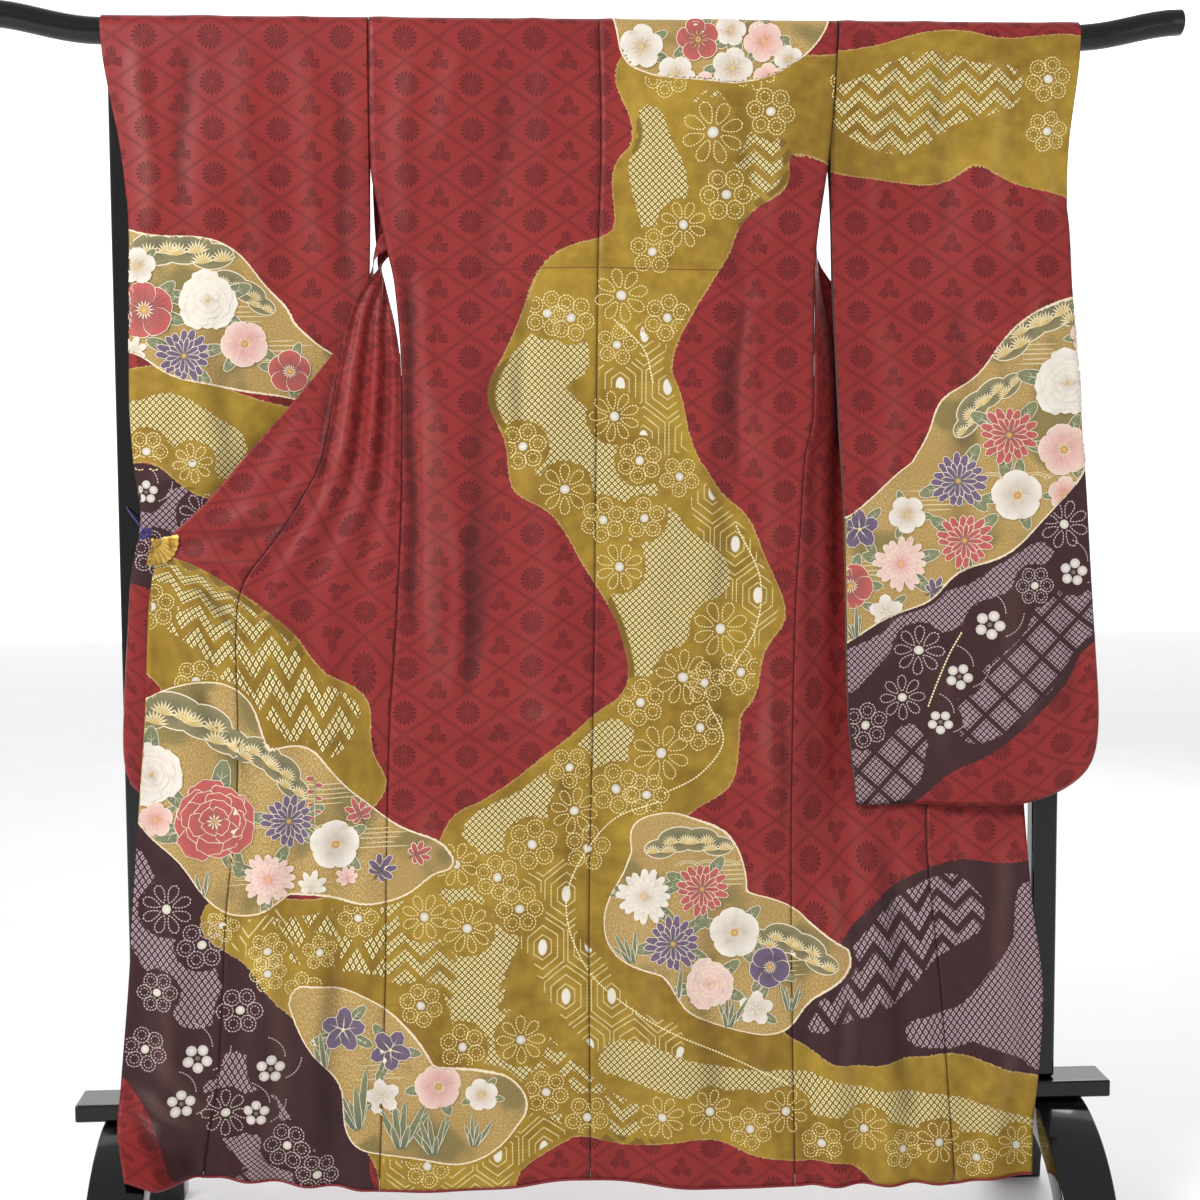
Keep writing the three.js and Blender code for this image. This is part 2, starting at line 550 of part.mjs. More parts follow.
// Folding-fan ornament: flat ribs spread from a pivot, cut as one plate.
function fanClip() {
  const ribs = 9;
  const shape = new THREE.Shape();
  const from = THREE.MathUtils.degToRad(-106);
  const to = THREE.MathUtils.degToRad(12);
  shape.moveTo(0, 0);
  for (let k = 0; k <= ribs * 2; k += 1) {
    const a = from + (to - from) * k / (ribs * 2);
    const r = k % 2 ? 35 : 33;
    shape.lineTo(r * Math.cos(a), r * Math.sin(a));
  }
  shape.closePath();
  const geometry = new THREE.ExtrudeGeometry(shape, { depth: 2.4, bevelEnabled: false });
  geometry.rotateX(Math.PI / 2);
  return geometry;
}

const lacquer = new THREE.MeshStandardMaterial({ color: 0x0a0b0d, roughness: 0.2 });
const silk = new THREE.MeshStandardMaterial({ color: 0x9c2f35, roughness: 0.5, side: THREE.DoubleSide });
const gold = new THREE.MeshStandardMaterial({ color: 0xc9a545, roughness: 0.3, metalness: 1 });
const violet = new THREE.MeshStandardMaterial({ color: 0x2c1a6e, roughness: 0.7 });

const group = new THREE.Group();

function add(name, geometry, material, x = 0, y = 0, z = 0) {
  geometry.translate(x, y, z);
  const mesh = new THREE.Mesh(geometry, material);
  mesh.name = name;
  group.add(mesh);
}

add('body_left', bodyPanel(-1), silk);
add('body_right', bodyPanel(1), silk);
add('overlap_left', overlapPanel(-1), silk);
add('overlap_right', overlapPanel(1), silk);
add('sleeve_left', sleeve(SLEEVE_LEFT), silk);
add('sleeve_right', sleeve(SLEEVE_RIGHT), silk);
add('collar', collar(), silk);

add('stand_pole', pole(), lacquer);
for (const [name, side] of [['left', -1], ['right', 1]]) {
  const height = POLE_Z - POLE_R - SEAM - BAR_TOP - SEAM;
  add(`stand_post_${name}`, chamferBox(POST_W, POST_D, height, 5), lacquer, side * POST_X, 0, BAR_TOP + SEAM);
  add(`stand_foot_${name}`, foot(), lacquer, side * FOOT_X, 0, 0);
}
const bar = chamferBox(BAR_T, BAR_D, 2 * BAR_HALF, 3);
bar.rotateY(Math.PI / 2);
add('stand_bar', bar, lacquer, -BAR_HALF, 0, BAR_TOP - BAR_T / 2);

add('fan_clip', fanClip(), gold, -592, -45.5, 989);
add('plain_clip', new THREE.BoxGeometry(9.4, 8, 34), lacquer, 602, 11, 1006);
add('clip_cord', rod([
  new THREE.Vector3(-594, -49.3, 993),
  new THREE.Vector3(-602, -48, 1000),
  new THREE.Vector3(-612, -40, 1011),
  new THREE.Vector3(-623, -29, 1023),
  new THREE.Vector3(-631, -16.6, 1032),
], CORD_D / 2, 8), violet);

export default group;
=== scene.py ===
import math

import bmesh
import bpy
import numpy as np
from mathutils import Matrix, Vector
from mathutils.bvhtree import BVHTree


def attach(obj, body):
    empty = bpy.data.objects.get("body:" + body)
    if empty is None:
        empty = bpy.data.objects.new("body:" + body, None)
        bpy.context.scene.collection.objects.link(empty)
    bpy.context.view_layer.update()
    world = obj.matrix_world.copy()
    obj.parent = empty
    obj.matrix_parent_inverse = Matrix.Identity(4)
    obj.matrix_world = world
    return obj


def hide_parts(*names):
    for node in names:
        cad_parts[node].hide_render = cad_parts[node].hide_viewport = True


# Furisode kimono spread on a black lacquered stand, its back to -Y.
# The shape functions work in millimetres; meshes are made in metres.

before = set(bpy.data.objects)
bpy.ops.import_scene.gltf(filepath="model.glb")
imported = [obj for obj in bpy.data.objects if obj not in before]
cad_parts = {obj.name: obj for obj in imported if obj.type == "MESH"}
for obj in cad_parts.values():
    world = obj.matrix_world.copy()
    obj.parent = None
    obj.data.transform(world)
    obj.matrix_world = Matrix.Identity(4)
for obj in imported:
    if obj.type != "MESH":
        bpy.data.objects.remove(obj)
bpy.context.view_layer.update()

MM = 0.001
SEAM = 0.3
EASE = 0.2
SILK = 1.0
POLE_Z = 1660
POLE_R = 18
POLE_HALF = 800
POLE_RISE = 22
DRAPE_R = 20
POST_X = 625
POST_W = 36
POST_D = 30
BAR_TOP = 218
BAR_T = 24
BAR_HALF = 718
BAR_D = 66
FOOT_X = 643
FOOT_W = 74
FOOT_HALF = 212
FOOT_T = 44
CORD_D = 2
CUFF_OPEN = 1440
SLEEVE_END = 609
SIDE_SEAM_TOP = 1235
TUCK_Z = 1351
SIDES = (("left", -1), ("right", 1))


# ---------------------------------------------------------------- shape tables

def table(names, *rows):
    keys = names.split()
    return [dict(zip(keys, row)) for row in rows]


# Back panels: side edges and centre seam, from the pole to the hem.
BACK_LEFT = table(
    "z x",
    (1700, -299.2), (1480, -299.2), (1425, -290), (1376, -280), (1327, -270), (1214, -262),
    (1083, -263), (976, -267), (837, -276), (738, -284), (542, -291), (377, -294), (90, -306),
)
BACK_RIGHT = table(
    "z x",
    (1700, 328), (1572, 322.5), (1486, 314), (1367, 298), (1250, 296), (1140, 294), (1095, 284),
    (1000, 278), (880, 271), (596, 266), (298, 265), (80, 269),
)
CENTRE = table(
    "z x",
    (1700, 5), (1520, 8), (1363, 3), (975, -3), (749, -7), (447, -15), (90, -16),
)
BACK_HEM = table(
    "x z",
    (-306, 93), (-186, 89), (-127, 93), (-51, 102), (-5, 101), (55, 92), (164, 83), (276, 84),
)
# Front panels: s = side edge, f = edge that meets the overlap panel, a = pleat depth.
FRONT_LEFT = table(
    "sx sy sz fx fy fz a",
    (-299.2, 20, 1660, -57, 20, 1660, 0), (-299.2, 20.5, 1600, -100, 22, 1603, 3),
    (-299.2, 20, 1530, -157, 22, 1527, 5), (-299.2, 19, 1480, -205, 21, 1462, 6),
    (-298, 18, 1430, -245, 16, 1410, 5), (-296, 16, 1390, -270, 8, 1376, 3),
    (-292, 11, 1358, -287, -8, 1354, 2.2), (-284, 3, 1330, -293, -26, 1343, 2.2),
    (-276, -9, 1300, -307, -33, 1326, 3), (-268.5, -16, 1265, -325, -35, 1295, 4),
    (-263.6, -20, 1225, -338, -36, 1248, 5), (-263.6, -20, 1170, -349, -37, 1190, 6),
    (-264.2, -20, 1110, -360, -38, 1130, 6), (-265.2, -20, 1050, -374, -39, 1080, 5),
    (-268, -20, 985, -422, -40, 1000, 4), (-271.5, -20, 920, -474, -40, 930, 3),
    (-275.6, -20, 850, -486, -40, 860, 2.5), (-285.6, -20, 730, -486, -40, 735, 2.5),
    (-290, -20, 610, -491, -38, 612, 3), (-293, -21, 490, -506, -34, 492, 4),
    (-296, -22, 370, -513, -31, 372, 5), (-300, -22, 250, -521, -29, 252, 6),
    (-304, -22, 160, -536, -28, 175, 7), (-306.6, -22, 93, -544, -28, 122, 8),
)
# Overlap panels: f = free front edge, a row for each of the last front rows.
OVERLAP_LEFT = table(
    "fx fy fz a",
    (-340, -37, 1249, 0), (-374, -40, 1206, 0), (-420, -41, 1153, 1), (-466, -43, 1102, 2),
    (-520, -44, 1040, 2), (-576, -44, 984, 1), (-598, -45, 915, 2), (-608, -43, 760, 3),
    (-620, -40, 630, 3), (-631, -36, 496, 3), (-639, -33, 380, 4), (-651, -31, 250, 4),
    (-652, -56, 198, 0), (-631, -126, 156, 0),
)
FRONT_RIGHT = table(
    "sx sy sz fx fy fz a",
    (327, 20, 1660, 67, 20, 1660, 0), (324, 21, 1600, 114, 23, 1602, 3),
    (319, 21, 1530, 172, 25, 1530, 5), (314, 21, 1484, 220, 28, 1470, 5),
    (311, 19, 1430, 262, 33, 1418, 4), (306, 14, 1395, 296, 38, 1376, 3),
    (301, 6, 1360, 326, 40, 1339, 3), (299, -5, 1320, 352, 39, 1307, 3),
    (298, -13, 1280, 379, 37, 1273, 4), (296.6, -18, 1240, 400, 34, 1246, 4),
    (295.6, -20, 1180, 412, 30, 1190, 5), (293, -20, 1125, 420, 26, 1130, 5),
    (282.4, -20, 1060, 430, 24, 1064, 5), (278, -20, 985, 444, 22, 990, 4),
    (273.6, -20, 910, 456, 20, 915, 4), (270, -20, 820, 462, 19, 825, 2),
    (268, -20, 720, 464, 18, 725, 2), (267, -20, 630, 464, 17, 634, 2),
    (266.6, -20, 550, 460, 0, 552, 3), (265.8, -21, 460, 464, -18, 462, 4),
    (265.6, -22, 360, 472, -24, 360, 5), (266, -22, 250, 480, -24, 250, 6),
    (268, -22, 160, 487, -24, 165, 7), (269.6, -22, 84, 494, -24, 82, 8),
)
OVERLAP_RIGHT = table(
    "fx fy fz a",
    (402.5, 34.5, 1246, 0), (444, 33, 1195, 0), (492, 31, 1136, 1), (540, 22, 1077, 2),
    (595, 11, 1008, 1), (600, 13, 925, 3), (601, 13, 830, 3), (601, 12, 728, 3), (600, 10, 636, 3),
    (601, -8, 552, 3), (605, -22, 462, 3), (616, -25, 360, 3), (611, -26, 250, 4),
    (603, -27, 165, 4), (602, -28, 94, 4),
)
# Sleeves: o = cuff edge, i = body edge, g = half the space between the layers,
# c = depth of the middle at the cuff side.
SLEEVE_LEFT = table(
    "z o i g c",
    (1660, -650, -300.8, 20, 0), (1618, -646, -300.8, 19.5, -3), (1560, -636, -300.8, 17, -8),
    (1515, -627, -300.8, 14, -14), (1450, -619, -301.4, 7, -25), (1398, -617, -302, 6, -26),
    (1330, -618, -304, 6, -24), (1174, -622, -306, 5.5, -25), (1083, -618, -306, 5, -25),
    (1016, -611, -306, 4.5, -24.5), (942, -625, -305, 5, -25), (860, -632, -304, 5.5, -26),
    (778, -638, -303, 6, -26), (702, -641, -302, 6, -26), (655, -634, -302, 5, -25),
    (606, -618, -302, 3, -24),
)
SLEEVE_RIGHT = table(
    "z o i g c",
    (1660, 658, 328.4, 20, 0), (1618, 655, 325.4, 19.5, -3), (1560, 647, 322.4, 17, -8),
    (1515, 641, 317.8, 14, -14), (1450, 638, 320, 7, -25), (1398, 644, 322, 6.5, -26),
    (1324, 649, 324, 7, -25), (1255, 655, 328, 6.5, -26), (1123, 666, 335, 6, -27),
    (1035, 673, 341, 6, -28), (935, 680, 344, 6, -28), (830, 688, 346, 6.5, -28),
    (740, 694, 349, 6.5, -28), (690, 691, 353, 6, -28), (655, 680, 357, 5, -27),
    (609, 662, 362, 3, -26),
)
# Rear cuff edge, which passes inside the post; x is measured from the middle.
REAR_CUFF = table(
    "z x",
    (1660, 650), (1645, 642), (1625, 603), (1585, 601), (1425, 601),
)
# Collar: p = sewn edge, q = free edge.
COLLAR = table(
    "px py pz qx qy qz",
    (-552, -36, 997, -530, -35, 960), (-480, -35, 1076, -446, -32, 1044),
    (-410, -33, 1152, -374, -27, 1122), (-345, -31, 1234, -314, -19, 1205),
    (-328, -30, 1282, -301, -12, 1256), (-311, -28, 1316, -300, -9, 1300),
    (-299, -24, 1346, -299, 2, 1338), (-293, -14, 1364, -297.5, 3, 1368),
    (-268, -1, 1382, -286, -9, 1394), (-240, 8, 1412, -248, -10, 1430),
    (-214, 16, 1446, -204, -6, 1436), (-176, 21, 1498, -146, 18, 1480),
    (-98.6, 22.4, 1602, -58, 26, 1584), (-54, 22, 1656, -32, 29, 1612),
    (-20, 19.3, 1671, -10, 30, 1620), (30, 19.3, 1671, 22, 30, 1620), (64, 22, 1656, 44, 29, 1612),
    (110, 24, 1602, 72, 27, 1584), (208, 31, 1480, 172, 31, 1458), (286, 41, 1383, 254, 41, 1358),
    (334, 46, 1333, 312, 50, 1300), (404, 42, 1250, 386, 48, 1210), (480, 38, 1156, 462, 42, 1114),
    (572, 24, 1036, 552, 30, 1000),
)


def smooth(low, high, value):
    t = min(1.0, max(0.0, (value - low) / (high - low)))
    return t * t * (3 - 2 * t)


def clamp(value):
    return min(1.0, max(0.0, value))


def hermite(p1, p2, m0, m1, t):
    t2 = t * t
    t3 = t2 * t
    return (2 * t3 - 3 * t2 + 1) * p1 + (t3 - 2 * t2 + t) * m0 + (3 * t2 - 2 * t3) * p2 + (t3 - t2) * m1


def at(rows, key, value, column):
    """Value of a column where the key column has the given value."""
    last = len(rows) - 1
    rising = rows[last][key] > rows[0][key]
    k = 0
    while k < last - 1 and (value > rows[k + 1][key] if rising else value < rows[k + 1][key]):
        k += 1
    a, b = rows[k], rows[k + 1]
    before, after = rows[max(k - 1, 0)], rows[min(k + 2, last)]
    span = b[key] - a[key]
    m0 = (b[column] - before[column]) / (b[key] - before[key]) * span
    m1 = (after[column] - a[column]) / (after[key] - a[key]) * span
    return hermite(a[column], b[column], m0, m1, clamp((value - a[key]) / span))


def station(rows, s):
    """All columns at a fractional row number."""
    last = len(rows) - 1
    k = int(min(max(math.floor(s), 0), last - 1))
    t = s - k
    out = {}
    for name in rows[0]:
        p0, p1, p2 = rows[max(k - 1, 0)][name], rows[k][name], rows[k + 1][name]
        p3 = rows[min(k + 2, last)][name]
        m0 = p2 - p1 if k == 0 else (p2 - p0) / 2
        m1 = p2 - p1 if k == last - 1 else (p3 - p1) / 2
        out[name] = hermite(p1, p2, m0, m1, t)
    return out


# ---------------------------------------------------------------- creases

# Soft ridges (+) and troughs (-) of the hung cloth: two ends, width, height.
CREASES = table(
    "x0 z0 x1 z1 w h",
    (-402, 726, -240, 716, 9, 1.6), (-262, 716, -96, 742, 8, 1.4), (-110, 742, 8, 752, 9, 1.1),
    (-402, 716, -240, 707, 10, -1.2), (-250, 705, -20, 738, 12, -1.0),
    (-430, 985, -330, 1118, 9, 2.2), (-448, 968, -350, 1090, 10, -1.8),
    (-560, 960, -470, 900, 8, 2.4), (-552, 940, -480, 862, 9, -2.0), (-560, 972, -450, 948, 8, 1.8),
    (-545, 985, -400, 1010, 10, -1.6), (-556, 918, -520, 800, 10, 1.8), (-500, 1005, -380, 1070, 9, 1.6),
    (-350, 1080, -330, 1240, 7, 2.2), (-372, 1050, -352, 1210, 9, -1.8),
    (-610, 640, -560, 560, 12, 1.6), (-600, 560, -540, 500, 12, -1.4),
    (-630, 250, -560, 190, 10, 3.0), (-640, 222, -585, 150, 10, -2.6), (-600, 300, -520, 180, 14, 1.8),
    (-250, 1640, -262, 1380, 14, 1.6), (-180, 1652, -205, 1500, 12, 1.4), (-60, 1655, -75, 1480, 12, 1.2),
    (60, 1655, 66, 1500, 10, 1.4), (150, 1655, 170, 1420, 14, 1.5), (250, 1640, 238, 1380, 13, 1.6),
    (-120, 1600, -150, 1300, 18, -1.2), (205, 1600, 190, 1320, 16, -1.2),
    (130, 1310, 290, 1300, 8, 1.2), (60, 1320, 200, 1290, 10, -0.9),
    (-210, 1180, -228, 760, 20, 1.6), (-150, 1240, -160, 820, 22, -1.4), (-70, 1260, -82, 700, 24, 1.2),
    (90, 1240, 74, 760, 22, 1.4), (170, 1250, 160, 700, 18, -1.3), (235, 1200, 226, 640, 18, 1.4),
    (-230, 640, -244, 180, 20, 1.6), (-130, 560, -140, 160, 22, 1.4), (70, 600, 58, 190, 24, 1.4),
    (150, 560, 146, 170, 20, -1.4), (222, 560, 226, 160, 18, 1.4),
    (330, 520, 352, 160, 16, 1.8), (400, 560, 426, 160, 16, -1.6), (560, 560, 570, 170, 18, 2.0),
    (-430, 420, -450, 150, 18, 1.8), (-370, 420, -380, 150, 16, -1.6), (-580, 440, -600, 260, 16, 1.6),
    (-252, 1345, -248, 860, 10, -2.6), (-230, 1340, -226, 860, 11, 1.6), (-166, 1020, -177, 770, 11, -2.4),
    (-190, 1010, -196, 780, 10, 1.6), (-536, 792, -482, 670, 15, -2.4), (-510, 800, -455, 690, 13, 1.6),
    (196, 1330, 186, 1060, 12, -1.8), (214, 1330, 206, 1060, 10, 1.4), (-100, 1340, -104, 1100, 13, -1.4),
    (250, 780, 256, 560, 11, -2.0), (236, 780, 240, 560, 10, 1.4), (-40, 700, -48, 480, 13, -1.2),
)
SLEEVE_CREASES = table(
    "x0 z0 x1 z1 w h",
    (-600, 1645, -588, 1380, 12, 2.0), (-540, 1650, -546, 1420, 13, -1.6),
    (-470, 1655, -455, 1300, 16, 1.8), (-390, 1650, -372, 1340, 14, 1.6),
    (-340, 1600, -332, 1320, 12, -1.4), (-575, 1330, -590, 1080, 16, 1.6),
    (-500, 1300, -510, 1000, 20, -1.5), (-600, 1060, -520, 1110, 9, 1.8), (-598, 1000, -540, 960, 9, 1.8),
    (390, 1650, 378, 1400, 12, 1.6), (460, 1652, 470, 1380, 14, -1.4), (540, 1652, 556, 1340, 15, 1.8),
    (610, 1650, 618, 1400, 12, 1.8), (600, 1340, 622, 1000, 18, 1.5), (500, 1320, 506, 900, 22, -1.4),
    (400, 1300, 410, 800, 22, 1.5), (560, 980, 590, 700, 20, 1.6), (470, 860, 480, 650, 18, 1.2),
    (640, 900, 655, 720, 14, -1.2), (-560, 940, -570, 760, 16, 1.4),
)


CREASE_DEPTH = 1.9
CREASE_BEND = 0.35
CREASE_WAVE = 37
CREASE_PAST = 30
CREASE_RISE = 70


def crease_shape(c, x, z):
    """How far along and off a crease's bent line a place is, and the crease's length."""
    dx, dz = c["x1"] - c["x0"], c["z1"] - c["z0"]
    length = math.hypot(dx, dz)
    s = ((x - c["x0"]) * dx + (z - c["z0"]) * dz) / length
    off = ((x - c["x0"]) * dz - (z - c["z0"]) * dx) / length
    return s, off, length


def crease(rows, x, z):
    """Height of the creases at a place on the spread cloth."""
    total = 0.0
    for c in rows:
        s, off, length = crease_shape(c, x, z)
        if -CREASE_PAST < s < length + CREASE_PAST and abs(off) < 3 * c["w"]:
            bend = CREASE_BEND * c["w"] * math.sin(s / CREASE_WAVE + c["x0"])
            inside = CREASE_RISE - CREASE_PAST
            taper = smooth(-CREASE_PAST, inside, s) * (1 - smooth(length - inside, length + CREASE_PAST, s))
            total += CREASE_DEPTH * c["h"] * taper * math.exp(-((off + bend) / c["w"]) ** 2)
    return total


def fold_field(rows, spots):
    """Height of the creases at many places at once."""
    total = np.zeros(len(spots))
    for c in rows:
        s, off, length = crease_shape(c, spots[:, 0], spots[:, 1])
        bend = CREASE_BEND * c["w"] * np.sin(s / CREASE_WAVE + c["x0"])
        near = np.clip((s + CREASE_PAST) / CREASE_RISE, 0, 1)
        far = np.clip((length + CREASE_PAST - s) / CREASE_RISE, 0, 1)
        total += CREASE_DEPTH * c["h"] * near * far * np.exp(-((off + bend) / c["w"]) ** 2)
    return total


# ---------------------------------------------------------------- garment shape

BACK_Y = -20
HANG_TOP = 1560
HANG_RUN = 1460
BACK_EDGE = -306
BACK_WIDE = 576
HEM_Z = 95
HEM_FORWARD = 24
TUCK_LAP = 1.5
TUCK_SINK = 0.5


def back_depth(x, z):
    """Depth of the back panels: soft folds that grow towards the hem."""
    down = clamp((HANG_TOP - z) / HANG_RUN)
    edge = math.sin(math.pi * clamp((x - BACK_EDGE) / BACK_WIDE))
    folds = 5 * math.sin(x / 33 + 0.6) + 3.5 * math.sin(x / 19 - 1.2 + z / 400)
    return BACK_Y - 2 * down + down * edge * folds


def forward(z):
    """The bar of the stand holds the hem forward."""
    return -HEM_FORWARD * (1 - smooth(230, 620, z))


def tuck(z):
    """The sewn waist tuck laps over the cloth below it."""
    if z >= TUCK_Z:
        return TUCK_LAP * math.exp((TUCK_Z - z) / 26)
    return -TUCK_SINK * math.exp((z - TUCK_Z) / 12)


def held_at(t, share):
    """0 on both edges of a piece and 1 over its middle."""
    return smooth(0, share, t) * smooth(0, share, 1 - t)


BACK_ROWS = 20
TOP_ROWS = 6
FRONT_ROWS = 23
BACK_LENGTH = 1568
TOP_LENGTH = math.pi * DRAPE_R
FRONT_LENGTH = 1580


def body_point(side, row, t):
    """One length of cloth: back hem, up over the pole, down to the front hem."""
    edge = BACK_LEFT if side < 0 else BACK_RIGHT

    def middle(z):
        return at(CENTRE, "z", z, "x") + side * SEAM / 2

    if row <= BACK_ROWS:
        s = row / BACK_ROWS
        hem_x = middle(HEM_Z) + (at(edge, "z", HEM_Z, "x") - middle(HEM_Z)) * t
        hem = at(BACK_HEM, "x", hem_x, "z")
        z = hem + (POLE_Z - hem) * s
        x = middle(z) + (at(edge, "z", z, "x") - middle(z)) * t
        held = held_at(t, 0.05) * (1 - smooth(1600, 1655, z))
        lift = crease(CREASES, x, z) * held + tuck(z) * smooth(0, 0.02, t)
        return Vector((x, back_depth(x, z) + forward(z) - lift, z))
    rows = FRONT_LEFT if side < 0 else FRONT_RIGHT
    if row <= BACK_ROWS + TOP_ROWS:
        k = (row - BACK_ROWS) / TOP_ROWS
        neck = smooth(0.72, 1, k)
        inner = middle(POLE_Z) + (rows[0]["fx"] - middle(POLE_Z)) * neck
        outer = at(edge, "z", POLE_Z, "x") * (1 - k) + rows[0]["sx"] * k
        bulge = DRAPE_R + bumps(inner + (outer - inner) * t) * math.sin(math.pi * k)
        return Vector((inner + (outer - inner) * t, -bulge * math.cos(math.pi * k),
                       POLE_Z + bulge * math.sin(math.pi * k)))
    q = station(rows, (row - BACK_ROWS - TOP_ROWS) / FRONT_ROWS * (len(rows) - 1))
    if q["sz"] < SIDE_SEAM_TOP:
        q["sx"] = at(edge, "z", q["sz"], "x") + side * (SEAM + EASE)
        q["sy"] = back_depth(q["sx"], q["sz"])
    side_edge = Vector((q["sx"], q["sy"], q["sz"]))
    p = Vector((q["fx"], q["fy"], q["fz"])).lerp(side_edge, t)
    along = Vector((q["sx"] - q["fx"], q["sy"] - q["fy"])).normalized()
    wave = q["a"] * math.sin(6 * math.pi * t) * min(1, 6 * t, 6 * (1 - t))
    if side > 0:
        p.y = q["sy"] + (q["fy"] - q["sy"]) * smooth(0, 0.36, 1 - t)
    p.x += -along.y * wave
    p.y += along.x * wave + forward(p.z)
    held = held_at(t, 0.08) * (1 - smooth(1240, 1345, p.z))
    p.y -= crease(CREASES, p.x, p.z) * held
    return p


def overlap_point(side, row, t):
    rows = OVERLAP_LEFT if side < 0 else OVERLAP_RIGHT
    last = len(rows) - 1
    q = station(rows, row)
    first = BACK_ROWS + TOP_ROWS + FRONT_ROWS - last
    sewn = body_point(side, first + row, 0)
    free = Vector((q["fx"], q["fy"] + forward(q["fz"]), q["fz"]))
    sewn += (free - sewn).normalized() * (SEAM + EASE)
    p = sewn.lerp(free, t)
    if side < 0:
        draped = sewn.y + (free.y - sewn.y) * smooth(0, 0.6, t)
        p.y += (draped - p.y) * smooth(last - 2, last - 1, row)
    p.y += q["a"] * math.sin(3 * math.pi * t) * min(1, 3 * t)
    held = held_at(t, 0.1)
    p.y -= crease(CREASES, p.x, p.z) * held
    return p


def bumps(x):
    """Small gathers where the cloth lies over the pole."""
    return 1.1 * max(0, math.sin(x / 23.0 + 1.3 * math.sin(x / 61.0))) ** 3


CUFF_ROUND = 9
BOTTOM_ROUND = 26
# The sleeve's outer corner: share of the width where its curve starts, and its height.
CORNER_START = 0.66
CORNER_RISE = 62


def sleeve_point(rows, u, level, layer):
    """layer -1 is the layer at the kimono's back, +1 the one behind it."""
    side = math.copysign(1, rows[0]["o"])
    low = clamp((POLE_Z - level) / (POLE_Z - SLEEVE_END)) ** 6
    turn = clamp((u - CORNER_START) / (1 - CORNER_START))
    z = level + CORNER_RISE * (1 - math.sqrt(1 - turn * turn)) * low
    inner, outer = at(rows, "z", z, "i"), at(rows, "z", z, "o")
    joined = 1 - smooth(CUFF_OPEN - 14, CUFF_OPEN + 12, level)
    if layer > 0:
        open_edge = side * min(abs(outer), at(REAR_CUFF, "z", z, "x"))
        outer += (open_edge - outer) * (1 - joined)
    x = inner + (outer - inner) * u
    middle = at(rows, "z", z, "c") * smooth(0.3, 0.72, u)
    hang = clamp((POLE_Z - z) / 900)
    ripple = 4 * math.sin(u * 9 + 0.5) + 2 * math.sin(u * 17 + z / 200)
    near = clamp(1 - abs(outer - x) / CUFF_ROUND)
    close = 1 - joined * (1 - math.sqrt(1 - near * near))
    close *= math.sqrt(1 - clamp((SLEEVE_END + BOTTOM_ROUND - level) / BOTTOM_ROUND) ** 2)
    held = held_at(u, 0.06) * (1 - smooth(1610, 1655, z)) * smooth(612, 660, z)
    lift = crease(SLEEVE_CREASES, x, z) * held
    y = middle + layer * at(rows, "z", z, "g") * close + hang * ripple * math.sin(math.pi * u)
    return Vector((x, y - lift, z))


SLEEVE_DROP = POLE_Z - SLEEVE_END
SLEEVE_STRIP = 2 * SLEEVE_DROP + TOP_LENGTH


def sleeve_strip(rows, s, u):
    """The sleeve's one cloth, from the bottom fold up, over the pole and down again."""
    if s <= SLEEVE_DROP:
        return sleeve_point(rows, u, SLEEVE_END + s, -1)
    if s >= SLEEVE_DROP + TOP_LENGTH:
        return sleeve_point(rows, u, SLEEVE_END + SLEEVE_STRIP - s, 1)
    k = (s - SLEEVE_DROP) / TOP_LENGTH
    p = sleeve_point(rows, u, POLE_Z, -1 if k < 0.5 else 1)
    bulge = DRAPE_R + bumps(p.x) * math.sin(math.pi * k)
    p.y = -bulge * math.cos(math.pi * k)
    p.z = POLE_Z + bulge * math.sin(math.pi * k)
    return p


# ---------------------------------------------------------------- dyed areas

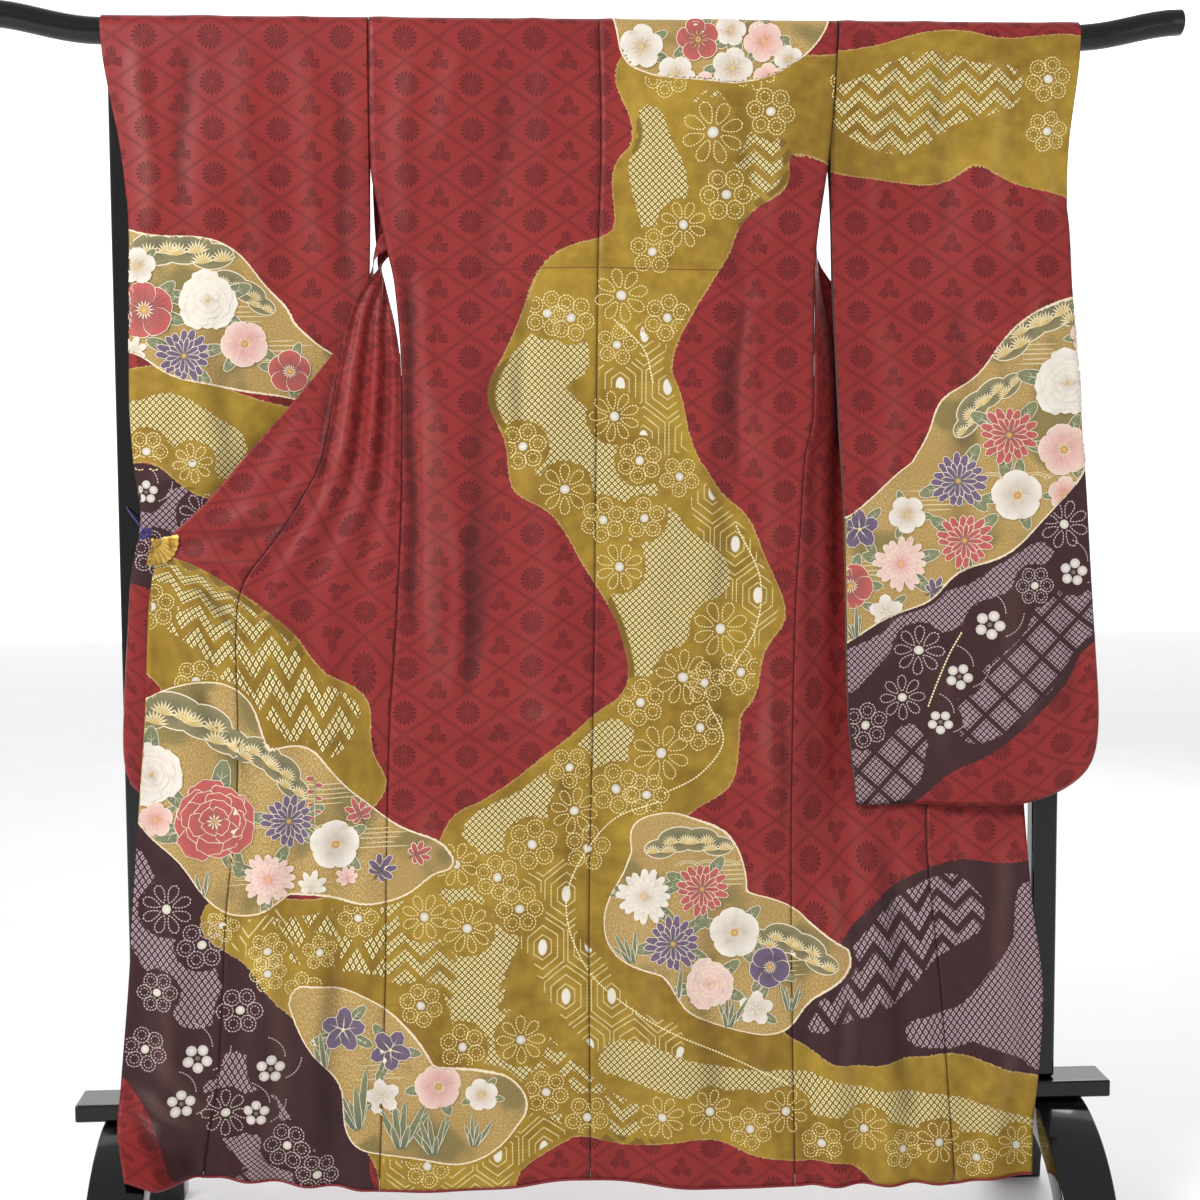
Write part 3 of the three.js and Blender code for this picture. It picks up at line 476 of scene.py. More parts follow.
# Each ribbon is a run of round stops: x, z and half its width.
BODY_DYE = {
    "ochre": (
        ((150, 1590, 112), (150, 1500, 104), (118, 1440, 92), (80, 1352, 84), (20, 1285, 108),
         (-14, 1210, 120), (4, 1115, 122), (50, 1035, 102), (110, 960, 106), (138, 890, 108),
         (132, 830, 100), (118, 768, 84), (92, 695, 92), (10, 640, 98), (-50, 585, 104),
         (-96, 535, 106), (-130, 470, 140), (-100, 380, 165), (-60, 300, 140), (-20, 245, 88),
         (100, 242, 88), (200, 218, 84), (300, 186, 74), (370, 182, 80), (452, 170, 94), (545, 164, 92),
         (600, 148, 84), (650, 128, 74)),
        ((-180, 452, 60), (-330, 450, 62), (-430, 445, 60), (-506, 470, 30)),
        ((-506, 470, 30), (-420, 412, 58), (-312, 322, 56), (-255, 220, 70), (-215, 95, 90),
         (-150, 150, 60), (-80, 200, 62)),
        ((-420, 420, 60), (-280, 400, 76), (-160, 340, 120)),
        ((-20, 400, 80), (70, 330, 96), (150, 262, 76), (202, 232, 76)),
        ((34, 566, 26), (6, 510, 40)),
        ((290, 1560, 66), (400, 1556, 92), (520, 1572, 92), (700, 1560, 112)),
        ((-640, 930, 50), (-560, 870, 84), (-470, 800, 88), (-390, 730, 74), (-330, 660, 44)),
    ),
    "brown": (
        ((-700, 610, 88), (-640, 540, 92), (-606, 440, 100), (-538, 320, 124), (-468, 205, 124),
         (-412, 90, 104), (-400, 40, 104)),
        ((225, 296, 24), (290, 296, 42), (350, 326, 74), (430, 372, 112), (520, 396, 134), (700, 400, 142)),
        ((220, 284, 26), (320, 268, 44), (450, 264, 50), (560, 254, 50), (680, 226, 66)),
    ),
    "gold": (
        ((-690, 712, 66), (-640, 713, 67), (-590, 700, 76), (-550, 690, 104), (-515, 625, 96),
         (-470, 590, 102), (-440, 610, 98), (-395, 578, 84), (-310, 557, 56), (-240, 552, 34),
         (-212, 543, 22)),
        ((-405, 358, 20), (-350, 320, 52), (-300, 262, 70), (-270, 210, 76), (-210, 200, 70),
         (-150, 218, 38)),
        ((104, 550, 56), (146, 540, 58), (118, 500, 86), (96, 468, 88), (130, 440, 84), (190, 400, 94),
         (250, 388, 68), (310, 396, 38), (335, 405, 18)),
        ((60, 1720, 60), (140, 1700, 108), (240, 1705, 80)),
    ),
    "fill": (
        ((78, 1540, 30), (92, 1440, 34), (84, 1380, 24)),
        ((-60, 1240, 46), (-92, 1180, 50), (-40, 1120, 56), (10, 1078, 50), (50, 1040, 26)),
        ((60, 1000, 26), (92, 985, 40), (112, 925, 60), (72, 870, 54), (60, 806, 40)),
        ((10, 690, 40), (-70, 612, 50), (-150, 560, 40), (-190, 500, 36)),
        ((-150, 430, 40), (-170, 330, 30), (-130, 240, 40)),
        ((10, 262, 26), (98, 246, 26), (206, 238, 22), (293, 216, 24), (391, 196, 24), (471, 182, 22),
         (546, 170, 22), (612, 142, 22)),
        ((-640, 540, 40), (-590, 450, 46), (-540, 370, 36)),
        ((-500, 250, 44), (-440, 140, 50)),
        ((606, 480, 26), (604, 410, 32), (566, 350, 42), (510, 312, 30), (440, 292, 14)),
        ((530, 310, 30), (610, 272, 38)),
    ),
    "chevron": (
        ((150, 1560, 30), (200, 1430, 36), (226, 1490, 44)),
        ((-560, 915, 50), (-460, 838, 56), (-376, 736, 46)),
        ((-430, 446, 30), (-300, 440, 56), (-210, 410, 56), (-160, 380, 40)),
        ((-116, 300, 44), (-60, 246, 44), (-6, 200, 40), (50, 176, 26)),
        ((306, 326, 26), (350, 360, 40), (420, 420, 54), (490, 462, 48)),
    ),
    "net": (
        ((70, 1230, 60), (84, 1120, 60)),
        ((176, 1020, 54), (200, 930, 56), (200, 860, 40)),
        ((-50, 580, 40), (-82, 506, 50), (-66, 430, 46), (-24, 364, 44), (20, 304, 40), (84, 290, 34)),
        ((-250, 110, 66), (-170, 140, 66), (-90, 150, 50)),
        ((-460, 452, 46), (-520, 452, 30)),
        ((-460, 90, 60), (-400, 60, 60)),
    ),
}
SLEEVE_LEFT_DYE = {
    "ochre": (((-700, 1150, 74), (-590, 1146, 66), (-480, 1110, 70), (-340, 1070, 80)),),
    "brown": (((-700, 1010, 90), (-580, 1010, 84), (-460, 960, 80), (-340, 900, 80)),),
    "gold": (
        ((-700, 1318, 86), (-600, 1318, 84), (-510, 1284, 80), (-450, 1236, 54), (-372, 1205, 34)),
    ),
    "fill": (((-650, 1135, 36), (-570, 1140, 36), (-500, 1110, 30)), ((-640, 1020, 30), (-560, 1010, 44))),
    "chevron": (((-430, 1080, 30), (-360, 1040, 40)),),
    "net": (((-480, 960, 40), (-400, 920, 40)),),
}
SLEEVE_RIGHT_DYE = {
    "ochre": (((280, 1560, 72), (400, 1556, 92), (520, 1572, 92), (620, 1550, 104), (720, 1520, 90)),),
    "brown": (
        ((720, 1010, 130), (610, 900, 92), (530, 820, 108), (440, 740, 110), (300, 700, 118)),
        ((690, 1060, 70), (620, 985, 76), (550, 930, 70), (470, 880, 70), (400, 830, 70), (300, 800, 74)),
    ),
    "gold": (
        ((740, 1240, 96), (630, 1196, 92), (545, 1085, 98), (510, 1030, 86), (465, 1000, 84),
         (385, 950, 76), (330, 920, 90)),
    ),
    "fill": (((340, 796, 32), (410, 846, 24), (490, 888, 24), (560, 932, 18), (620, 970, 12)),),
    "chevron": (((350, 1560, 40), (440, 1570, 56), (540, 1590, 34)),),
    "net": (
        ((676, 892, 30), (624, 846, 40), (584, 800, 44), (548, 756, 42), (520, 716, 26)),
        ((350, 646, 42), (414, 668, 42), (438, 690, 30)),
    ),
}
DYE_REACH = 60


def ribbon_stops(ribbon, step=9):
    """Round stops close together along a ribbon, as an array of x, z, half width."""
    rows = table("x z w", *ribbon)
    out = []
    for k in range(len(rows) - 1):
        a, b = rows[k], rows[k + 1]
        count = max(2, round(math.hypot(b["x"] - a["x"], b["z"] - a["z"]) / step))
        out += [station(rows, k + i / count) for i in range(count)]
    out.append(rows[-1])
    return np.array([(q["x"], q["z"], q["w"]) for q in out])


def ribbon_depth(stops, spots):
    """How far inside a set of ribbons each spot is, in millimetres."""
    best = np.full(len(spots), -float(DYE_REACH))
    for line in stops:
        away = np.hypot(spots[:, None, 0] - line[None, :, 0], spots[:, None, 1] - line[None, :, 1])
        best = np.maximum(best, (line[None, :, 2] - away).max(axis=1))
    return np.minimum(best, DYE_REACH)


def wander(spots):
    """Uneven edge of a dyed area: small swells along the cloth."""
    x, z = spots[:, 0], spots[:, 1]
    return 7 * np.sin(x / 31 + 1.7 * np.sin(z / 47)) + 5 * np.sin(z / 23 + 1.1 * np.sin(x / 37))


def clear_of(spots, tied):
    """Distance outside the nearest flower drawn in dots."""
    away = np.full(len(spots), 1000.0)
    for q in tied:
        away = np.minimum(away, np.hypot(spots[:, 0] - q["x"], spots[:, 1] - q["z"]) - q["r"] - 4)
    return away


def dye_field(areas, spots, tied=()):
    stops = {name: [ribbon_stops(r) for r in ribbons] for name, ribbons in areas.items()}
    depth = {name: ribbon_depth(lines, spots) + wander(spots) for name, lines in stops.items()}
    dye = np.stack([depth["ochre"], depth["brown"], depth["gold"]], 1)
    free = clear_of(spots, tied)
    tie = np.stack([np.minimum(depth[name], free) for name in ("fill", "chevron", "net")], 1)
    return dye, tie


# ---------------------------------------------------------------- finishes

def tone(red, green, blue):
    """Colour from its screen values, 0 to 255."""
    def linear(c):
        c /= 255
        return c / 12.92 if c <= 0.04045 else ((c + 0.055) / 1.055) ** 2.4
    return (linear(red), linear(green), linear(blue), 1.0)


class Term:
    """A shader value that can stand in ordinary sums."""

    def __init__(self, kit, socket):
        self.kit = kit
        self.socket = socket

    def __add__(self, other):
        return self.kit.math("ADD", self, other)

    def __radd__(self, other):
        return self.kit.math("ADD", other, self)

    def __sub__(self, other):
        return self.kit.math("SUBTRACT", self, other)

    def __rsub__(self, other):
        return self.kit.math("SUBTRACT", other, self)

    def __mul__(self, other):
        return self.kit.math("MULTIPLY", self, other)

    def __rmul__(self, other):
        return self.kit.math("MULTIPLY", other, self)

    def __truediv__(self, other):
        return self.kit.math("DIVIDE", self, other)

    def __rtruediv__(self, other):
        return self.kit.math("DIVIDE", other, self)

    def __pow__(self, other):
        return self.kit.math("POWER", self, other)

    def __abs__(self):
        return self.kit.math("ABSOLUTE", self)

    def __neg__(self):
        return self.kit.math("MULTIPLY", self, -1.0)


class Finish:
    """One material and its shader nodes."""

    def __init__(self, name):
        self.material = bpy.data.materials.new(name)
        self.material.use_nodes = True
        self.tree = self.material.node_tree
        self.shader = self.tree.nodes["Principled BSDF"]

    def node(self, kind, settings=None, inputs=None, out=0):
        made = self.tree.nodes.new(kind)
        for key, value in (settings or {}).items():
            setattr(made, key, value)
        for key, value in (inputs or {}).items():
            self.feed(made.inputs[key], value)
        return Term(self, made.outputs[out])

    def feed(self, socket, value):
        if isinstance(value, Term):
            self.tree.links.new(value.socket, socket)
        else:
            socket.default_value = value

    def math(self, operation, *values):
        return self.node("ShaderNodeMath", {"operation": operation}, dict(enumerate(values)))

    def most(self, a, b):
        return self.math("MAXIMUM", a, b)

    def least(self, a, b):
        return self.math("MINIMUM", a, b)

    def part(self, value):
        """The part of a value after its point."""
        return self.math("FRACT", value)

    def off_middle(self, value):
        """0 in the middle of each repeat and 0.5 at its ends."""
        return abs(self.part(value) - 0.5)

    def fade(self, value, low, high):
        """0 at low, 1 at high, eased between them."""
        inputs = {"Value": value, "From Min": low, "From Max": high}
        return self.node("ShaderNodeMapRange", {"interpolation_type": "SMOOTHSTEP"}, inputs)

    def mix(self, factor, a, b):
        return self.node("ShaderNodeMix", {"data_type": "RGBA"}, {0: factor, 6: a, 7: b}, 2)

    def noise(self, vector, scale, detail=2.0, roughness=0.5):
        inputs = {"Vector": vector, "Scale": scale, "Detail": detail, "Roughness": roughness}
        return self.node("ShaderNodeTexNoise", None, inputs, "Fac")

    def split(self, vector):
        made = self.tree.nodes.new("ShaderNodeSeparateXYZ")
        self.feed(made.inputs[0], vector)
        return [Term(self, made.outputs[k]) for k in range(3)]

    def attribute(self, name, out="Vector"):
        return self.node("ShaderNodeAttribute", {"attribute_name": name}, None, out)

    def place(self):
        return self.node("ShaderNodeTexCoord", None, None, "Object")

    def bump(self, height, strength, distance):
        inputs = {"Strength": strength, "Distance": distance, "Height": height}
        return self.node("ShaderNodeBump", None, inputs)

    def set(self, **values):
        for key, value in values.items():
            self.feed(self.shader.inputs[key.replace("_", " ")], value)
        return self.material


RED = tone(124, 28, 30)
RED_DEEP = tone(76, 12, 18)
RED_LIT = tone(152, 50, 48)
OCHRE = tone(178, 146, 52)
OCHRE_DEEP = tone(128, 96, 26)
CREAM = tone(244, 232, 172)
BROWN = tone(68, 38, 40)
BROWN_DEEP = tone(48, 24, 28)
PINK_WHITE = tone(200, 176, 184)
GOLD_SILK = tone(168, 134, 74)
GOLD_LIGHT = tone(206, 180, 122)
MIST_GREEN = tone(112, 106, 66)
EDGE_LINE = tone(240, 222, 190)

TIED_SHADE = tone(104, 78, 24)
SHELL_KNOT = tone(226, 222, 208)
FOLD_SHADE = tone(30, 8, 10)
FOLD_SHINE = tone(236, 190, 170)
SEWN_SHADE = tone(40, 12, 14)

# Sizes of the woven and dyed repeats, in metres.
DAMASK_W = 0.086
DAMASK_H = 0.060
KANOKO = 0.0062
ZIG_W = 0.046
ZIG_H = 0.027
LOZENGE_DOTS = 6.0
SHELL_W = 0.064
SHELL_H = 0.070
SHELL_RINGS = 7.4
BEAD = 0.0048


def damask_weave(kit, u, v):
    """Diamond lattice with round and three-lobed figures, woven tone on tone."""
    a = u / DAMASK_W + v / DAMASK_H
    b = u / DAMASK_W - v / DAMASK_H
    ca = kit.part(a) - 0.5
    cb = kit.part(b) - 0.5
    x = (ca + cb) * (DAMASK_W * 500)
    z = (ca - cb) * (DAMASK_H * 500)
    radius = kit.math("SQRT", x * x + z * z)
    angle = kit.math("ARCTAN2", z, x)
    column = kit.part((kit.math("FLOOR", a) + kit.math("FLOOR", b)) * 0.5)
    is_round = kit.fade(column, 0.2, 0.3)
    petals = kit.math("COSINE", angle * 16.0)
    lobes = abs(kit.math("COSINE", angle * 1.5 + 0.78))
    round_edge = radius - (petals * 1.6 + 15.5)
    lobe_edge = radius - (lobes * 11.0 + 4.5 + kit.math("COSINE", angle * 9.0) * 1.4)
    figure_edge = round_edge * is_round + lobe_edge * (1.0 - is_round)
    rays = kit.fade(petals, -0.6, 0.1) * kit.fade(radius, 3.0, 4.0)
    figure = kit.fade(figure_edge, 0.7, -0.7) * (0.45 + 0.55 * rays)
    line = kit.most(kit.fade(abs(ca), 0.455, 0.475), kit.fade(abs(cb), 0.455, 0.475))
    twin = kit.most(kit.fade(abs(abs(ca) - 0.44), 0.012, 0.004),
                    kit.fade(abs(abs(cb) - 0.44), 0.012, 0.004))
    return kit.most(kit.most(figure, line * 0.6), twin * 0.35)


def tied_dots(kit, u, v):
    """Small squares with a dark middle in rows at 45 degrees, the zigzag stripes and the
    lozenges that they fill."""
    ka = (u + v) / (KANOKO * math.sqrt(2))
    kb = (u - v) / (KANOKO * math.sqrt(2))
    square = kit.most(kit.off_middle(ka), kit.off_middle(kb))
    dot = kit.fade(square, 0.385, 0.315) - kit.fade(square, 0.17, 0.08)
    zig = kit.off_middle(u / ZIG_W) * 1.5 + v / ZIG_H
    stripe = kit.fade(kit.off_middle(zig), 0.34, 0.28)
    bars = kit.least(kit.off_middle(ka / LOZENGE_DOTS), kit.off_middle(kb / LOZENGE_DOTS))
    return dot, stripe, kit.fade(bars, 0.06, 0.12)


def tortoiseshell(kit, u, v):
    """Beaded hexagons one within another, and the white knot in their middle."""
    root = math.sqrt(3)
    sx, sy = u / SHELL_W, v / SHELL_H * (root / 2)
    near = [(kit.part(sx + shift) - 0.5, (kit.part(sy / root + shift) - 0.5) * root)
            for shift in (0.0, 0.5)]
    span = [px * px + py * py for px, py in near]
    first = kit.math("LESS_THAN", span[0], span[1])
    hx = abs(near[0][0] * first + near[1][0] * (1.0 - first))
    hy = abs(near[0][1] * first + near[1][1] * (1.0 - first))
    shell = kit.most(hx, hx * 0.5 + hy * (root / 2))
    ring = kit.fade(kit.off_middle(shell * SHELL_RINGS + 0.12), 0.115, 0.06) * kit.fade(shell, 0.17, 0.18)
    grain = kit.most(kit.off_middle((u + v) / BEAD), kit.off_middle((u - v) / BEAD))
    beads = 0.35 + 0.65 * kit.fade(grain, 0.45, 0.34)
    knot = kit.fade(kit.math("SQRT", hx * hx + hy * hy * 0.5), 0.105, 0.085)
    return ring * beads, knot


def silk_finish(name):
    """Red damask with tie-dyed and figured areas; lengths in the pattern are metres."""
    kit = Finish(name)
    cut = kit.node("ShaderNodeUVMap", {"uv_map": "cut"})
    u, v, _ = kit.split(cut)
    ochre_depth, brown_depth, gold_depth = kit.split(kit.attribute("dye"))
    fill_depth, chevron_depth, net_depth = kit.split(kit.attribute("tie"))
    cloud = kit.noise(cut, 5.0, 3.0)
    worn = kit.noise(cut, 46.0, 3.0)
    slub = kit.noise(cut, 900.0, 1.0)
    damask = damask_weave(kit, u, v) * (0.55 + 0.6 * worn)
    dot, stripe, lozenge = tied_dots(kit, u, v)
    rings, knot = tortoiseshell(kit, u, v)

    # Where each dye and each tied pattern lies, with a slightly jagged edge.
    jag = (kit.noise(cut, 260.0, 1.0) - 0.5) * 5.0
    in_ochre = kit.fade(ochre_depth + jag, -0.5, 0.5)
    in_brown = kit.fade(brown_depth + jag, -0.5, 0.5) * (1.0 - in_ochre)
    in_gold = kit.fade(gold_depth + jag * 0.4, -0.5, 0.5)
    deep_ochre = kit.fade(ochre_depth, 9.0, 13.0) * in_ochre
    deep_brown = kit.fade(brown_depth, 7.0, 10.0) * in_brown
    free = kit.fade(gold_depth, -5.0, -8.0)
    uneven = (kit.noise(cut, 150.0, 1.0) - 0.5) * 7.0
    full = kit.fade(fill_depth + uneven, 0.0, 1.2)
    striped = kit.fade(chevron_depth + uneven, 0.0, 1.2) * stripe
    netted = kit.fade(net_depth + uneven, 0.0, 1.2)
    tied = kit.most(full, striped)
    shells = netted * (1.0 - tied) * deep_ochre * free
    dots = dot * (tied * deep_ochre + kit.most(tied, netted * lozenge) * deep_brown) * free
    dots = kit.most(dots, shells * rings * 0.75)

    red = kit.mix(damask * 0.85, kit.mix(cloud, RED, RED_LIT), RED_DEEP)
    red = kit.mix(kit.fade(slub, 0.45, 0.75) * 0.4, red, RED_LIT)
    ochre = kit.mix(kit.fade(cloud * 0.6 + worn * 0.4, 0.3, 0.7), OCHRE_DEEP, OCHRE)
    ochre = kit.mix(kit.fade(abs(ochre_depth + jag), 2.0, 0.8) * 0.6, ochre, GOLD_LIGHT)
    ochre = kit.mix(kit.most(damask, slub * 0.7) * 0.3, ochre, OCHRE_DEEP)
    ochre = kit.mix(tied * free * 0.7, ochre, TIED_SHADE)
    ochre = kit.mix(dots * 0.95, ochre, CREAM)
    ochre = kit.mix(shells * knot, ochre, SHELL_KNOT)
    brown = kit.mix(worn, BROWN, BROWN_DEEP)
    brown = kit.mix(dots * 0.82, brown, PINK_WHITE)

    # Figured islands: gold silk with misty patches and a pale edge.
    mist = kit.fade(kit.noise(cut, 11.0, 2.0), 0.52, 0.64)
    leaf = kit.fade(kit.noise(cut, 520.0, 2.0), 0.42, 0.62)
    gold = kit.mix(leaf, GOLD_SILK, GOLD_LIGHT)
    gold = kit.mix(kit.fade(cloud, 0.35, 0.7) * 0.5, gold, GOLD_SILK)
    gold = kit.mix(mist * 0.7, gold, MIST_GREEN)
    rim = kit.fade(abs(gold_depth + jag * 0.4), 1.5, 0.7)

    colour = kit.mix(in_brown, red, brown)
    colour = kit.mix(in_ochre, colour, ochre)
    colour = kit.mix(in_gold, colour, gold)
    colour = kit.mix(rim, colour, EDGE_LINE)
    # Painted shade in the crease troughs and a faint painted highlight on the crease ridges, both taken from
    # the crease height.
    fold = kit.attribute("fold", "Fac")
    colour = kit.mix(kit.fade(fold, -0.3, -4.5) * 0.5, colour, FOLD_SHADE)
    colour = kit.mix(kit.fade(fold, 0.8, 5.0) * 0.05, colour, FOLD_SHINE)
    sewn = kit.fade(kit.attribute("seam", "Fac"), 1.5, 0.4)
    colour = kit.mix(sewn * 0.62, colour, SEWN_SHADE)

    plain = 1.0 - kit.most(in_gold, kit.most(in_ochre, in_brown))
    warp = kit.math("SINE", u * 5200.0) * 0.5 + kit.math("SINE", v * 4300.0) * 0.5
    soft = kit.noise(cut, 28.0, 2.0)
    height = damask * plain * 0.25 + dots * 0.9 * (1.0 - in_gold) + warp * 0.06 + soft * 0.8 + slub * 0.12
    roughness = 0.42 + damask * plain * 0.14 + dots * 0.2 + worn * 0.06 - leaf * in_gold * 0.1
    kit.set(Base_Color=colour, Roughness=roughness, Metallic=in_gold * leaf * 0.3,
            Normal=kit.bump(height, 0.5, 0.0009))
    return kit.set(Sheen_Weight=0.06, Sheen_Roughness=0.4, Sheen_Tint=(1.0, 0.82, 0.8, 1.0),
                   Specular_IOR_Level=0.27)


def lining_finish(name, light, dark):
    kit = Finish(name)
    spot = kit.place()
    cloud = kit.noise(spot, 9.0, 3.0)
    weave = kit.noise(spot, 700.0, 1.0)
    colour = kit.mix(cloud, light, dark)
    height = weave * 0.4 + kit.noise(spot, 30.0, 2.0)
    kit.set(Base_Color=colour, Roughness=0.5 + weave * 0.1, Normal=kit.bump(height, 0.4, 0.0008))
    return kit.set(Sheen_Weight=0.12, Sheen_Roughness=0.4)


def figure_finish(name):
    """Dyed and painted figures: their colour is painted on the points."""
    kit = Finish(name)
    spot = kit.place()
    paint = kit.attribute("paint", "Color")
    weave = kit.noise(spot, 800.0, 1.0)
    blot = kit.noise(spot, 60.0, 2.0)
    colour = kit.mix(weave * 0.18, paint, tone(245, 235, 215))
    colour = kit.mix(kit.fade(blot, 0.55, 0.8) * 0.2, colour, tone(90, 60, 50))
    return kit.set(Base_Color=colour, Roughness=0.5 + weave * 0.12, Normal=kit.bump(weave, 0.25, 0.0005),
                   Sheen_Weight=0.12)


def lacquer_finish(name):
    kit = Finish(name)
    spot = kit.place()
    dust = kit.noise(spot, 240.0, 3.0)
    swirl = kit.noise(spot, 16.0, 2.0)
    colour = kit.mix(kit.fade(dust, 0.62, 0.8) * 0.3, tone(4, 5, 6), tone(30, 32, 36))
    kit.set(Base_Color=colour, Roughness=0.1 + swirl * 0.08, Normal=kit.bump(swirl, 0.08, 0.002))
    return kit.set(Coat_Weight=0.3, Coat_Roughness=0.04, Specular_IOR_Level=0.3)


def metal_finish(name, light, dark, roughness):
    kit = Finish(name)
    spot = kit.place()
    tarnish = kit.noise(spot, 120.0, 3.0)
    brush = kit.noise(spot, 900.0, 2.0)
    colour = kit.mix(kit.fade(tarnish, 0.4, 0.75), light, dark)
    return kit.set(Base_Color=colour, Metallic=1.0, Roughness=roughness + brush * 0.12,
                   Normal=kit.bump(brush, 0.2, 0.0003))


def cord_finish(name, light, dark):
    kit = Finish(name)
    x, y, z = kit.split(kit.place())
    strand = kit.math("SINE", (x + z + y * 0.5) * 3800.0) * 0.5 + 0.5
    colour = kit.mix(strand, dark, light)
    return kit.set(Base_Color=colour, Roughness=0.62, Normal=kit.bump(strand, 0.6, 0.0004), Sheen_Weight=0.2)


# ---------------------------------------------------------------- cloth pieces

def keep(name, mesh, slot, finishes, *nodes):
    """Makes an object of a finished bmesh, riding on the one body."""
    data = bpy.data.meshes.new(name)
    mesh.to_mesh(data)
    mesh.free()
    for finish in finishes:
        data.materials.append(finish)
    piece = bpy.data.objects.new(name, data)
    bpy.context.scene.collection.objects.link(piece)
    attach(piece, "root")
    if nodes:
        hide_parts(*nodes)
    return piece


def lay_flat(spots, cut):
    """Spots on the flat cloth in metres, true to the cloth's real width in each row."""
    rows = {}
    for vert, (s, t) in spots.items():
        rows.setdefault(round(s, 6), []).append((t, vert))
    out = {}
    for s, row in rows.items():
        row.sort(key=lambda pair: pair[0])
        first, last = cut(s, 0)[0], cut(s, 1)[0]
        way = (last > first + 1) - (last < first - 1)
        run = 0.0
        for k, (t, vert) in enumerate(row):
            run += (vert.co - row[k - 1][1].co).length if k else 0
            along, down = cut(s, t)
            out[vert] = (first * MM + way * run if way else along * MM, down * MM)
    return out


def cloth(node, grid, strip, pattern, finishes, merge=False):
    """A thin silk wall on a grid. The strip's place gives a point, its cut the spot on the flat
    cloth and its seam how far that is from a sewn edge. A sleeve's edges merge."""
    rows, columns = grid
    place, cut, seam = strip
    areas, tied = pattern
    mesh = bmesh.new()
    flat = mesh.loops.layers.uv.new("cut")
    dye_layer = mesh.verts.layers.float_vector.new("dye")
    tie_layer = mesh.verts.layers.float_vector.new("tie")
    seam_layer = mesh.verts.layers.float.new("seam")
    fold_layer = mesh.verts.layers.float.new("fold")
    bmesh.ops.create_grid(mesh, x_segments=columns, y_segments=rows, size=1)
    spots = {vert: ((vert.co.y + 1) / 2, (vert.co.x + 1) / 2) for vert in mesh.verts}
    for face in mesh.faces:
        face.smooth = True
    edge = [vert for vert in mesh.verts if vert.is_boundary]
    lowest = min(mesh.faces, key=lambda face: face.calc_center_median().y)
    for vert, spot in spots.items():
        vert.co = place(*spot) * MM
        vert[seam_layer] = seam(*spot)
    flat_place = lay_flat(spots, cut)
    for face in mesh.faces:
        for loop in face.loops:
            loop[flat].uv = flat_place[loop.vert]
    mesh.normal_update()
    if lowest.normal.y > 0:
        bmesh.ops.reverse_faces(mesh, faces=mesh.faces[:])
    spread = np.array([(vert.co.x, vert.co.z) for vert in mesh.verts]) / MM
    dye, tie = dye_field(areas, spread, tied)
    folds = fold_field(SLEEVE_CREASES if merge else CREASES, spread)
    for vert, dye_row, tie_row, fold in zip(mesh.verts, dye, tie, folds):
        vert[fold_layer] = fold
        vert[dye_layer] = Vector(dye_row)
        vert[tie_layer] = Vector(tie_row)
    if merge:
        bmesh.ops.remove_doubles(mesh, verts=edge, dist=0.05 * MM)
    piece = keep(f"silk_{node}", mesh, "silk", finishes, node)
    wall = piece.modifiers.new("wall", "SOLIDIFY")
    wall.thickness = SILK * MM
    wall.offset = 0
    wall.material_offset = 1
    return piece


# Sizes of the flat cloth, which the woven and dyed patterns follow.
BODY_RUN = BACK_LENGTH + TOP_LENGTH + FRONT_LENGTH
BODY_WIDE = 300
BODY_START = 92
OVERLAP_START = 520
OVERLAP_TOP = 1250
OVERLAP_WIDE = 150
OVERLAP_RUN = 1180
OVERLAP_SHOWN = 130
SLEEVE_START = 310
SLEEVE_WIDE = 335
SLEEVE_SEWN = 200
COLLAR_RUN = 1980
COLLAR_WIDE = 55
FAR = 20


def body_strip(side):
    def place(s, t):
        run = s * BODY_RUN
        if run < BACK_LENGTH:
            return body_point(side, run / BACK_LENGTH * BACK_ROWS, t)
        run -= BACK_LENGTH
        if run < TOP_LENGTH:
            return body_point(side, BACK_ROWS + run / TOP_LENGTH * TOP_ROWS, t)
        run -= TOP_LENGTH
        return body_point(side, BACK_ROWS + TOP_ROWS + run / FRONT_LENGTH * FRONT_ROWS, t)

    def cut(s, t):
        return (side * t * BODY_WIDE, BODY_START + s * BODY_RUN)

    def seam(s, t):
        return min(t, 1 - t) * BODY_WIDE
    return place, cut, seam


def overlap_strip(side):
    last = len(OVERLAP_LEFT if side < 0 else OVERLAP_RIGHT) - 1

    def place(s, t):
        return overlap_point(side, s * last, t)

    def cut(s, t):
        return (side * (t * OVERLAP_WIDE + OVERLAP_START), OVERLAP_TOP - s * OVERLAP_RUN)

    def seam(s, t):
        return t * OVERLAP_SHOWN
    return place, cut, seam


def gather_to_edges(t):
    """Columns packed closer towards both edges."""
    return t - 0.11 * math.sin(2 * math.pi * t)


def sleeve_cloth(rows, side):
    def place(s, t):
        return sleeve_strip(rows, s * SLEEVE_STRIP, gather_to_edges(t))

    def cut(s, t):
        return (side * (gather_to_edges(t) * SLEEVE_WIDE + SLEEVE_START), SLEEVE_END + s * SLEEVE_STRIP)

    def seam(s, t):
        run = s * SLEEVE_STRIP - SLEEVE_DROP
        sewn = -SLEEVE_SEWN < run < SLEEVE_SEWN + TOP_LENGTH
        return gather_to_edges(t) * SLEEVE_WIDE if sewn else FAR
    return place, cut, seam


def collar_strip():
    def place(s, t):
        q = station(COLLAR, s * (len(COLLAR) - 1))
        return Vector((q["px"], q["py"], q["pz"])).lerp(Vector((q["qx"], q["qy"], q["qz"])), t)

    def cut(s, t):
        return (s * COLLAR_RUN, t * COLLAR_WIDE)

    def seam(s, t):
        return t * COLLAR_WIDE
    return place, cut, seam


# Grid of each cloth piece: rows along its length, columns across.
GRIDS = {"body": (440, 42), "overlap": (160, 22), "sleeve": (300, 48), "collar": (300, 8)}
